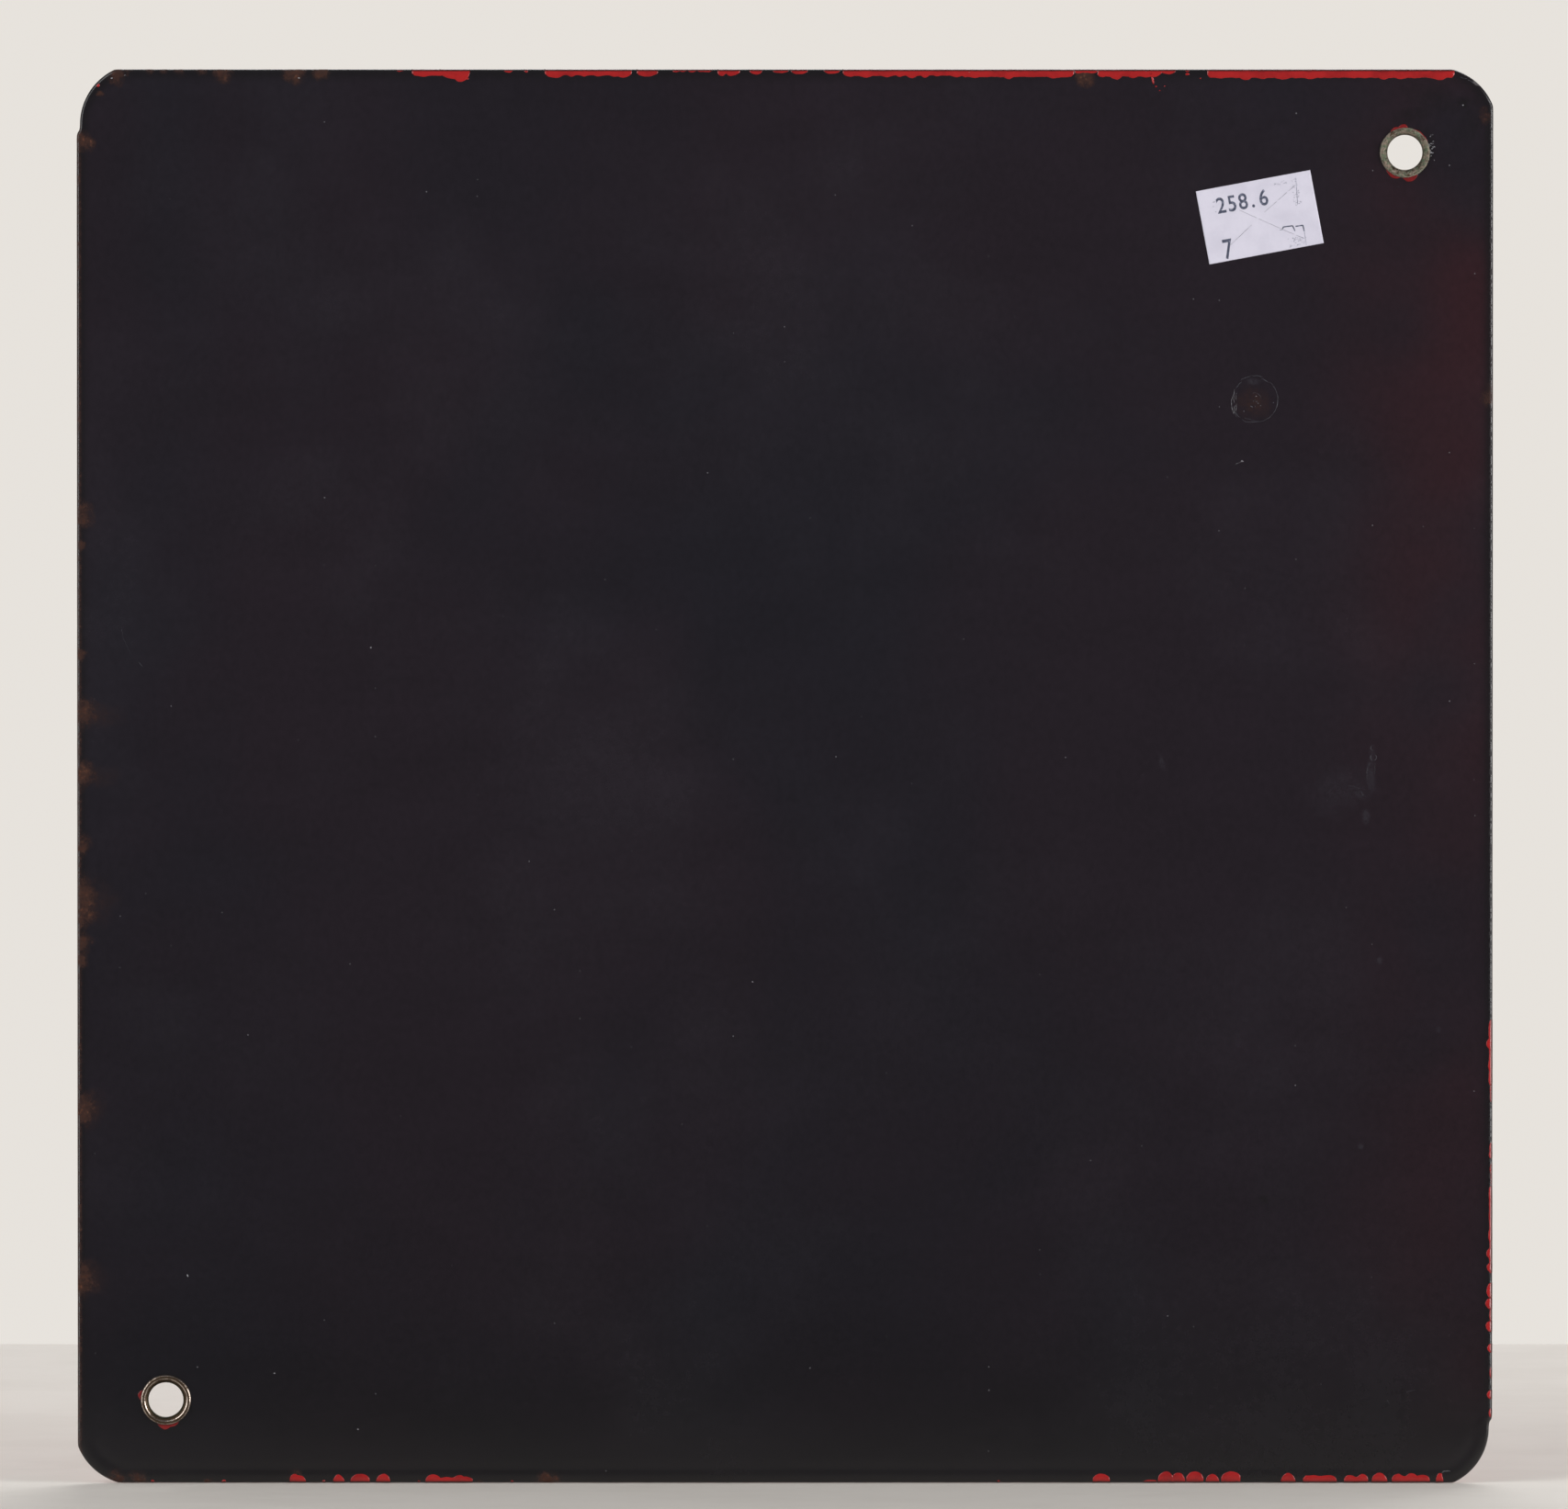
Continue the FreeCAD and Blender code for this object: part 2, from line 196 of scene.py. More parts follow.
def new_mesh(name: str, points: Sequence[Sequence[float]], edges: Sequence = (),
             faces: Sequence = ()) -> bpy.types.Object:
    """Makes an object from plain lists, in metres, and links it to the scene.

    Args:
        name: The object's name.
        points: The places of its vertices.
        edges: Its edges, if it has no faces.
        faces: Its faces.

    Returns:
        The object.
    """
    mesh = bpy.data.meshes.new(name)
    mesh.from_pydata([tuple(p) for p in points], edges, faces)
    mesh.update()
    made = bpy.data.objects.new(name, mesh)
    bpy.context.scene.collection.objects.link(made)
    return made


def store(made: bpy.types.Object, name: str, kind: str, values: Iterable) -> None:
    """Writes one value for each vertex under a name: FLOAT numbers or FLOAT_VECTOR vectors.

    Args:
        made: The object.
        name: The name.
        kind: FLOAT or FLOAT_VECTOR.
        values: The values.
    """
    held = made.data.attributes.new(name, kind, "POINT")
    for item, value in zip(held.data, values):
        if kind == "FLOAT":
            item.value = value
        else:
            item.vector = value


def discard(made: bpy.types.Object) -> None:
    """Takes a helper object out of the file."""
    bpy.data.objects.remove(made, do_unlink=True)


def grow(base: bpy.types.Object, tree: bpy.types.NodeTree, inputs: dict[str, object]) -> None:
    """Runs a geometry tree on an object and keeps its result as the object's plain mesh.

    Args:
        base: The object that feeds the tree.
        tree: The tree, whose inputs are set by their sockets' identifiers.
        inputs: The tree's inputs by name.
    """
    modifier = base.modifiers.new("grow", "NODES")
    modifier.node_group = tree
    for socket in tree.interface.items_tree:
        if socket.in_out == "INPUT" and socket.name in inputs:
            modifier[socket.identifier] = inputs[socket.name]
    graph = bpy.context.evaluated_depsgraph_get()
    result = bpy.data.meshes.new_from_object(base.evaluated_get(graph))
    base.modifiers.remove(modifier)
    base.data = result
    result.name = base.name


def edit(made: bpy.types.Object, change: Callable[[bmesh.types.BMesh], None]) -> None:
    """Shades an object's mesh smooth, changes it, and turns its faces outwards.

    Args:
        made: The object.
        change: What is done to its mesh.
    """
    work = bmesh.new()
    work.from_mesh(made.data)
    for face in work.faces:
        face.smooth = True
    change(work)
    bmesh.ops.recalc_face_normals(work, faces=work.faces)
    work.to_mesh(made.data)
    work.free()


def arc(x: float, y: float, radius: float, start: float, end: float, steps: int) -> list[Point]:
    """Gives points on an arc, whose angles are in degrees."""
    turns = [math.radians(start + (end - start) * i / steps) for i in range(steps + 1)]
    return [(x + radius * math.cos(t), y + radius * math.sin(t)) for t in turns]


def divided(points: Sequence[Point], spacing: float, closed: bool = False) -> list[Point]:
    """Gives a line's points with more between them, no further apart than the spacing.

    Args:
        points: The line.
        spacing: The longest step.
        closed: Whether the line comes back to its start.

    Returns:
        The line with the added points.
    """
    result = []
    count = len(points) if closed else len(points) - 1
    for i in range(count):
        x0, y0 = points[i]
        x1, y1 = points[(i + 1) % len(points)]
        pieces = max(1, math.ceil(math.dist((x0, y0), (x1, y1)) / spacing))
        result += [(x0 + (x1 - x0) * k / pieces, y0 + (y1 - y0) * k / pieces) for k in range(pieces)]
    return result if closed else result + [points[-1]]


def bell(distance: float, width: float) -> float:
    """Gives 1 at no distance and falls off smoothly over the width."""
    return math.exp(-(distance / width) ** 2)


# Geometry trees

@dataclass(frozen=True)
class SweepTree:
    """Carries a section along an outline and roughens it.

    The outline's vertices hold the feet of the stations, with the vectors "way" and "core".
    The section's vertices hold how far to go along way, which share of core to add and how
    far to go along Y. Their number "give" is the share of the relief, and their number "edge"
    goes on to the mesh for the finish.
    """

    relief_detail: float = 3.0
    seam: float = 0.001

    def build(self) -> bpy.types.NodeTree:
        """Makes the tree.

        Returns:
            The tree.
        """
        tree = bpy.data.node_groups.new("carry_section", "GeometryNodeTree")
        face = tree.interface
        face.new_socket("Outline", in_out="INPUT", socket_type="NodeSocketGeometry")
        face.new_socket("Section", in_out="INPUT", socket_type="NodeSocketObject")
        for name in ("Relief", "Relief Size", "Seed"):
            face.new_socket(name, in_out="INPUT", socket_type="NodeSocketFloat")
        face.new_socket("Finish", in_out="INPUT", socket_type="NodeSocketMaterial")
        face.new_socket("Band", in_out="OUTPUT", socket_type="NodeSocketGeometry")
        graph = Graph(tree)
        given = graph.add("NodeGroupInput").outputs
        outline = given["Outline"]
        section = graph.add("GeometryNodeObjectInfo", {"Object": given["Section"]}).outputs["Geometry"]
        stations = graph.add("GeometryNodeAttributeDomainSize", {0: outline}).outputs["Point Count"]
        steps = graph.add("GeometryNodeAttributeDomainSize", {0: section}).outputs["Point Count"]
        grid = graph.add("GeometryNodeMeshGrid", {
            "Size X": 1.0, "Size Y": 1.0, "Vertices X": graph.plus(stations, 1.0),
            "Vertices Y": steps}).outputs["Mesh"]
        here = graph.add("GeometryNodeInputPosition").outputs[0]
        x, y, _ = graph.parts(here)
        along = graph.math("ROUND", graph.times(graph.plus(x, 0.5), stations))
        station = graph.math("MODULO", along, stations)
        last = graph.less(steps, 1.0)
        across = graph.math("ROUND", graph.times(graph.plus(y, 0.5), last))

        def read(source: Feed, name: str, kind: str, index: Feed) -> bpy.types.NodeSocket:
            """Reads a named value, or the place if the name is empty, at a vertex.

            Args:
                source: The geometry.
                name: The value's name.
                kind: Its data type.
                index: The vertex's number.

            Returns:
                The value.
            """
            value = here
            if name:
                held = graph.add("GeometryNodeInputNamedAttribute", {"Name": name}, data_type=kind)
                value = held.outputs["Attribute"]
            node = graph.add("GeometryNodeSampleIndex", data_type=kind, domain="POINT")
            tree.links.new(source, node.inputs["Geometry"])
            tree.links.new(value, node.inputs["Value"])
            tree.links.new(index, node.inputs["Index"])
            return node.outputs["Value"]

        foot = read(outline, "", "FLOAT_VECTOR", station)
        way = read(outline, "way", "FLOAT_VECTOR", station)
        core = read(outline, "core", "FLOAT_VECTOR", station)
        measures = read(section, "", "FLOAT_VECTOR", across)
        give = read(section, "give", "FLOAT", across)
        edge = read(section, "edge", "FLOAT", across)
        reach, share, depth = graph.parts(measures)
        sideways = graph.vector("ADD", graph.scaled(way, reach), graph.scaled(core, share))
        place = graph.vector("ADD", graph.vector("ADD", foot, sideways), graph.joined(0.0, depth, 0.0))
        kept = grid
        for name, value in (("give", give), ("edge", edge)):
            kept = graph.add("GeometryNodeStoreNamedAttribute", {
                "Geometry": kept, "Name": name, "Value": value},
                data_type="FLOAT", domain="POINT").outputs[0]
        band = graph.add("GeometryNodeSetPosition", {"Geometry": kept, "Position": place}).outputs[0]
        band = graph.add("GeometryNodeMergeByDistance", {
            "Geometry": band, "Distance": self.seam * MM}).outputs[0]
        scale = graph.math("DIVIDE", 1.0, given["Relief Size"])
        noise = graph.add("ShaderNodeTexNoise", {
            "Vector": here, "W": given["Seed"], "Scale": scale, "Detail": self.relief_detail},
            noise_dimensions="4D").outputs[0]
        weight = graph.add("GeometryNodeInputNamedAttribute", {"Name": "give"}, data_type="FLOAT")
        height = graph.times(graph.less(noise, 0.8), given["Relief"])
        height = graph.times(height, weight.outputs["Attribute"])
        normal = graph.add("GeometryNodeInputNormal").outputs[0]
        band = graph.add("GeometryNodeSetPosition", {
            "Geometry": band, "Offset": graph.scaled(normal, height)}).outputs[0]
        band = graph.add("GeometryNodeRealizeInstances", {0: band}).outputs[0]
        band = graph.add("GeometryNodeSetMaterial", {
            "Geometry": band, "Material": given["Finish"]}).outputs[0]
        graph.add("NodeGroupOutput", {"Band": band})
        return tree


@dataclass(frozen=True)
class LayTree:
    """Lays closed pads on a surface, with wandering borders.

    Each vertex of a pad goes to the nearest place on the surface, then stands off it by the
    coat's thickness times its number "swell".
    """

    seam: float = 0.0002

    def build(self) -> bpy.types.NodeTree:
        """Makes the tree.

        Returns:
            The tree.
        """
        tree = bpy.data.node_groups.new("lay_pads", "GeometryNodeTree")
        face = tree.interface
        face.new_socket("Pads", in_out="INPUT", socket_type="NodeSocketGeometry")
        face.new_socket("Surface", in_out="INPUT", socket_type="NodeSocketObject")
        for name in ("Coat", "Wander", "Wander Size", "Seed"):
            face.new_socket(name, in_out="INPUT", socket_type="NodeSocketFloat")
        face.new_socket("Finish", in_out="INPUT", socket_type="NodeSocketMaterial")
        face.new_socket("Laid", in_out="OUTPUT", socket_type="NodeSocketGeometry")
        graph = Graph(tree)
        given = graph.add("NodeGroupInput").outputs
        surface = graph.add("GeometryNodeObjectInfo", {"Object": given["Surface"]}).outputs["Geometry"]
        here = graph.add("GeometryNodeInputPosition").outputs[0]
        scale = graph.math("DIVIDE", 1.0, given["Wander Size"])
        noise = graph.add("ShaderNodeTexNoise", {
            "Vector": here, "W": given["Seed"], "Scale": scale, "Detail": 2.0},
            noise_dimensions="4D").outputs["Color"]
        drift = graph.scaled(graph.vector("SUBTRACT", noise, (0.5, 0.5, 0.5)), given["Wander"])
        place = graph.vector("ADD", here, drift)
        nearest = graph.add("GeometryNodeProximity", target_element="FACES")
        tree.links.new(surface, nearest.inputs[0])
        tree.links.new(place, nearest.inputs["Sample Position"])
        normal = graph.add("GeometryNodeSampleNearestSurface", data_type="FLOAT_VECTOR")
        tree.links.new(surface, normal.inputs[0])
        tree.links.new(graph.add("GeometryNodeInputNormal").outputs[0], normal.inputs["Value"])
        tree.links.new(place, normal.inputs["Sample Position"])
        swell = graph.add("GeometryNodeInputNamedAttribute", {"Name": "swell"}, data_type="FLOAT")
        height = graph.times(swell.outputs["Attribute"], given["Coat"])
        stand = graph.scaled(normal.outputs["Value"], height)
        laid = graph.add("GeometryNodeSetPosition", {
            "Geometry": given["Pads"],
            "Position": graph.vector("ADD", nearest.outputs["Position"], stand)}).outputs[0]
        laid = graph.add("GeometryNodeMergeByDistance", {
            "Geometry": laid, "Distance": self.seam * MM}).outputs[0]
        laid = graph.add("GeometryNodeRealizeInstances", {0: laid}).outputs[0]
        laid = graph.add("GeometryNodeSetMaterial", {
            "Geometry": laid, "Material": given["Finish"]}).outputs[0]
        graph.add("NodeGroupOutput", {"Laid": laid})
        return tree


# Finishes

@dataclass(frozen=True)
class Smudge:
    """A faint mark on the back: its place, half sizes, turn in degrees and strength."""

    across: float
    up: float
    wide: float
    tall: float
    turn: float = 0.0
    strength: float = 1.0


def new_material(name: str) -> tuple[bpy.types.Material, Graph, bpy.types.Node, bpy.types.NodeSocket]:
    """Makes a material with nodes.

    Args:
        name: The material's name.

    Returns:
        The material, its graph, its main shader and the place on the object.
    """
    material = bpy.data.materials.new(name)
    material.use_nodes = True
    graph = Graph(material.node_tree)
    shader = next(n for n in material.node_tree.nodes if n.type == "BSDF_PRINCIPLED")
    return material, graph, shader, graph.add("ShaderNodeTexCoord").outputs["Object"]


def finish_shader(graph: Graph, shader: bpy.types.Node, relief: Feed, strength: float,
                  inputs: dict[str, Feed]) -> None:
    """Ends a finish with its relief and the shader's inputs.

    Args:
        graph: The material's graph.
        shader: Its main shader.
        relief: The height of the surface, in millimetres.
        strength: How strongly the relief shows.
        inputs: Values and results for the shader's inputs, by name.
    """
    bump = graph.add("ShaderNodeBump", {"Strength": strength, "Distance": MM, "Height": relief})
    for name, value in {**inputs, "Normal": bump.outputs[0]}.items():
        if isinstance(value, bpy.types.NodeSocket):
            graph.tree.links.new(value, shader.inputs[name])
        else:
            shader.inputs[name].default_value = value


@dataclass(frozen=True)
class RustSpot:
    """Rust that starts from an edge: its place, how far it spreads and how strong it is."""

    across: float
    up: float
    spread: float
    strength: float = 1.0


@dataclass(frozen=True)
class DarkEnamel:
    """The blue-black ground coat of the back, with haze, dust, rust at the edges and marks, with painted
    reflections in its colour, painted shade along the rim and at its foot, and painted shadows round the
    eyelets.
    """

    smudges: tuple[Smudge, ...]
    # Real dark stains, and painted contact shadows round the eyelets.
    stains_and_shadows: tuple[Smudge, ...]
    browned: tuple[Smudge, ...]
    rust: tuple[RustSpot, ...]
    blue_black: Colour = (0.0067, 0.0056, 0.0089)
    purple_black: Colour = (0.0096, 0.0058, 0.0092)
    # Lighter bluish patches: a dull haze in the coat, and a painted reflection of the room.
    haze_and_sheen: Colour = (0.026, 0.023, 0.031)
    # A red tint painted on the right side: red overspray, and a painted reflection of something red beside
    # the plate.
    red_overspray_and_reflection: Colour = (0.050, 0.0040, 0.0040)
    dust: Colour = (0.20, 0.20, 0.21)
    rust_dark: Colour = (0.026, 0.0110, 0.0085)
    rust_red: Colour = (0.050, 0.0195, 0.0125)
    rust_light: Colour = (0.125, 0.048, 0.026)
    bare_chip: Colour = (0.055, 0.048, 0.050)
    # Colour of the dark stains and of the painted shadows round the eyelets.
    stain_and_shadow_colour: Colour = (0.004, 0.003, 0.003)
    # Colour of the painted shade band along the rounded rim.
    rim: Colour = (0.0045, 0.0035, 0.0042)
    cloud_size: float = 95.0
    drift_size: float = 60.0
    patch_size: float = 34.0
    swell_size: float = 16.0
    wipe_size: float = 13.0
    lobe_size: float = 5.0
    lobe_reach: float = 5.0
    speck_spacing: float = 5.5
    grain_size: float = 1.6
    peel_size: float = 1.3
    torn_size: float = 1.3
    tint_size: float = 0.8

    def rusting(self, graph: Graph, place: Feed) -> Feed:
        """Gives how near a place is to the middle of a rust spot, from 0 to 1.

        Args:
            graph: The material's graph.
            place: The place on the object.

        Returns:
            The nearness.
        """
        total = 0.0
        for spot in self.rust:
            centre = (spot.across * MM, 0.0, spot.up * MM)
            away = graph.add("ShaderNodeVectorMath", {0: place, 1: centre}, operation="DISTANCE")
            near = graph.step(away.outputs["Value"], spot.spread * 1.25 * MM, spot.spread * 0.1 * MM)
            total = graph.math("MAXIMUM", total, graph.times(near, spot.strength))
        return total

    def marks(self, graph: Graph, place: Feed, torn: Feed, bent: Feed,
              smudges: Sequence[Smudge]) -> Feed:
        """Adds up faint marks as a number from 0 to 1.

        Args:
            graph: The material's graph.
            place: The place on the object.
            torn: A fine noise that breaks the marks up.
            bent: A coarse vector noise about zero that bends their borders.
            smudges: The marks.

        Returns:
            The strength of the marks at the place.
        """
        total = 0.0
        broken = graph.step(torn, 0.25, 0.65)
        for smudge in smudges:
            local = graph.add("ShaderNodeMapping", {
                "Vector": place,
                "Location": (smudge.across * MM, 0.0, smudge.up * MM),
                "Rotation": (0.0, -math.radians(smudge.turn), 0.0),
                "Scale": (smudge.wide * MM, 1.0, smudge.tall * MM)}, vector_type="TEXTURE").outputs[0]
            inside = graph.step(graph.length(graph.vector("ADD", local, bent)), 1.05, 0.15)
            total = graph.math("MULTIPLY_ADD", inside, smudge.strength, total)
        return graph.math("MULTIPLY", total, broken, clamp=True)

    def ground(self, graph: Graph, place: Feed, grain: Feed) -> tuple[Feed, Feed]:
        """Gives the clean coat: cloudy, with lighter patches that are partly haze and partly painted
        reflection, reddened at the right by overspray and a painted red reflection, and darker towards its
        foot as painted shade.

        Args:
            graph: The material's graph.
            place: The place on the object.
            grain: A fine noise.

        Returns:
            The colour, and the strength of the haze with its painted sheen.
        """
        x, _, z = graph.parts(place)
        clouds = graph.noise(place, self.cloud_size, 2.0, 0.55, distortion=0.4, seed=1.3)
        colour = graph.mix(graph.step(clouds, 0.30, 0.66), self.blue_black, self.purple_black)
        # Lighter bluish patches, partly haze and partly a painted reflection of the room.
        drift = graph.noise(place, self.drift_size, 5.0, 0.62, seed=7.0)
        haze_and_sheen = graph.step(drift, 0.42, 0.85)
        colour = graph.mix(graph.times(haze_and_sheen, 0.22), colour, self.haze_and_sheen)
        # Red at the right, stronger towards the top: red overspray and a painted red reflection.
        height = graph.plus(graph.times(graph.step(z, -0.02, 0.09), 0.5), 0.5)
        patchy = graph.step(graph.noise(place, self.patch_size, 1.0, seed=3.0), 0.2, 0.7)
        red_spray_and_reflection = graph.times(graph.step(x, 0.105, 0.150), height, patchy)
        colour = graph.mix(graph.times(red_spray_and_reflection, 0.27), colour, self.red_overspray_and_reflection)
        wiped = graph.vector("MULTIPLY", place, (0.35, 1.0, 1.0))
        streaks = graph.noise(wiped, self.wipe_size, 3.0, 0.6, seed=12.0)
        # Painted shade: the coat's colour is darkened towards the foot of the plate.
        painted_foot_shade = graph.plus(graph.times(graph.step(z, -0.15, 0.06), 0.20),
                          graph.times(graph.step(z, -0.160, -0.10), 0.52))
        value = graph.plus(graph.times(grain, 0.5), graph.times(streaks, 0.45))
        value = graph.plus(value, painted_foot_shade, -0.12)
        return graph.add("ShaderNodeHueSaturation", {"Value": value, "Color": colour}).outputs[0], haze_and_sheen

    def specks(self, graph: Graph, place: Feed) -> Feed:
        """Gives 1 on a few specks of dust and 0 elsewhere.

        Args:
            graph: The material's graph.
            place: The place on the object.

        Returns:
            The number.
        """
        x, _, z = graph.parts(place)
        cells = graph.add("ShaderNodeTexVoronoi", {
            "Vector": graph.joined(x, z, 0.0), "Scale": 1.0 / (self.speck_spacing * MM)},
            voronoi_dimensions="2D").outputs
        choice, chance, _ = graph.parts(cells["Color"])
        radius = graph.plus(graph.times(chance, 0.02), 0.010)
        near = graph.math("LESS_THAN", cells["Distance"], radius)
        return graph.times(graph.step(choice, 0.955, 0.975), near)

    def rusted(self, graph: Graph, colour: Feed, worn: Feed, broken: Feed, tint: Feed) -> tuple[Feed, Feed]:
        """Puts rust on the coat: a dark halo, then a speckled core.

        Args:
            graph: The material's graph.
            colour: The coat's colour.
            worn: How near the place is to the middle of the rust.
            broken: The noise that frays the rust.
            tint: The noise that mottles it.

        Returns:
            The colour and the strength of the core.
        """
        shift = graph.times(graph.less(broken, 0.5), 2.2)
        halo = graph.step(graph.math("MULTIPLY_ADD", shift, 0.5, worn), 0.05, 0.8)
        halo = graph.times(halo, graph.step(worn, 0.0, 0.3))
        colour = graph.mix(graph.times(halo, 0.85), colour, self.rust_dark)
        core = graph.step(graph.math("MULTIPLY_ADD", shift, 1.4, worn), 0.35, 1.35)
        core = graph.times(core, graph.step(worn, 0.10, 0.6))
        rusty = graph.mix(graph.step(tint, 0.54, 0.68), self.rust_red, self.rust_light)
        return graph.mix(graph.times(core, 0.85), colour, rusty), core

    def build(self) -> bpy.types.Material:
        """Makes the material.

        Returns:
            The material.
        """
        material, graph, shader, place = new_material("dark_enamel")
        x = graph.parts(place)[0]
        grain = graph.noise(place, self.grain_size, 2.0, 0.7, seed=2.0)
        colour, haze_and_sheen = self.ground(graph, place, grain)

        flat = graph.vector("MULTIPLY", place, (1.0, 0.0, 1.0))
        broken = graph.noise(place, self.torn_size, 5.0, 0.8, seed=5.0)
        lobes = graph.noise(flat, self.lobe_size, 2.0, 0.6, seed=5.0, output="Color")
        bent = graph.vector("SUBTRACT", lobes, (0.5, 0.5, 0.5))
        smudge = self.marks(graph, flat, broken, bent, self.smudges)
        colour = graph.mix(graph.times(smudge, 0.85), colour, self.haze_and_sheen)
        # Dark stains, and painted contact shadows round the eyelets.
        stain_and_shadow_mask = self.marks(graph, flat, broken, bent, self.stains_and_shadows)
        colour = graph.mix(graph.times(stain_and_shadow_mask, 0.9), colour, self.stain_and_shadow_colour)
        colour = graph.mix(self.marks(graph, flat, broken, bent, self.browned), colour, self.rust_dark)
        colour = graph.mix(graph.times(self.specks(graph, place), 0.45), colour, self.dust)
        # Painted shade: the coat is darkened along the rim and a few millimetres in from it.
        colour = graph.mix(graph.times(graph.attribute("edge"), 0.8), colour, self.rim)

        strayed = graph.vector("ADD", flat, graph.scaled(bent, self.lobe_reach * MM))
        left = graph.times(graph.step(x, -0.1508, -0.1517), 0.55)
        worn = graph.math("MAXIMUM", self.rusting(graph, strayed), left)
        tint = graph.noise(place, self.tint_size, 3.0, 0.7, seed=6.0)
        colour, rust = self.rusted(graph, colour, worn, broken, tint)
        bare = graph.step(graph.plus(graph.attribute("chip"), graph.less(tint, 0.5)), 0.4, 0.6)
        colour = graph.mix(bare, colour, self.bare_chip)

        dull = graph.plus(graph.times(haze_and_sheen, 0.08), graph.times(smudge, 0.22))
        scuffed = graph.times(graph.step(x, 0.1513, 0.1519), graph.step(broken, 0.53, 0.44))
        dull = graph.math("MULTIPLY_ADD", scuffed, 0.45, dull)
        dull = graph.plus(dull, graph.times(graph.plus(rust, bare), 0.35))
        gloss = graph.plus(0.20, graph.times(grain, 0.06), dull)
        shine = graph.less(0.5, graph.times(rust, 0.38))
        swell = graph.noise(place, self.swell_size, 1.0, seed=8.0)
        peel = graph.noise(place, self.peel_size, 0.0, seed=9.0)
        relief = graph.plus(graph.times(swell, 0.05), graph.times(peel, 0.004))
        finish_shader(graph, shader, relief, 0.55, {
            "Base Color": colour, "Roughness": gloss, "IOR": 1.5, "Specular IOR Level": shine})
        return material


@dataclass(frozen=True)
class RedEnamel:
    """The red coat of the front, glossy and a little uneven."""

    name: str = "red_enamel"
    bright: Colour = (0.34, 0.0100, 0.0100)
    deep: Colour = (0.23, 0.0068, 0.0075)
    patch: float = 5.0
    spread: tuple[float, float] = (0.25, 0.60)
    thin: Colour = (0.030, 0.0040, 0.0040)
    fine_size: float = 0.5
    peel_size: float = 1.4
    wave_size: float = 14.0

    def build(self) -> bpy.types.Material:
        """Makes the material.

        Returns:
            The material.
        """
        material, graph, shader, place = new_material(self.name)
        tone = graph.noise(place, self.patch, 4.0, 0.6, seed=2.0)
        colour = graph.mix(graph.step(tone, *self.spread), self.deep, self.bright)
        fine = graph.noise(place, self.fine_size, 3.0, seed=3.0)
        colour = graph.mix(graph.times(graph.step(fine, 0.55, 0.8), 0.3), colour, self.deep)
        colour = graph.mix(graph.attribute("thin"), colour, self.thin)
        gloss = graph.plus(0.14, graph.times(tone, 0.12))
        peel = graph.noise(place, self.peel_size, 2.0, seed=4.0)
        wave = graph.noise(place, self.wave_size, 2.0, seed=5.0)
        relief = graph.plus(graph.times(peel, 0.012), graph.times(wave, 0.05))
        finish_shader(graph, shader, relief, 0.6, {"Base Color": colour, "Roughness": gloss, "IOR": 1.5})
        return material


class Patina(Enum):
    """How far an eyelet has corroded: the share of crust, and how rough the crust is."""

    WORN = (0.12, 0.05)
    CRUSTED = (0.86, 0.24)


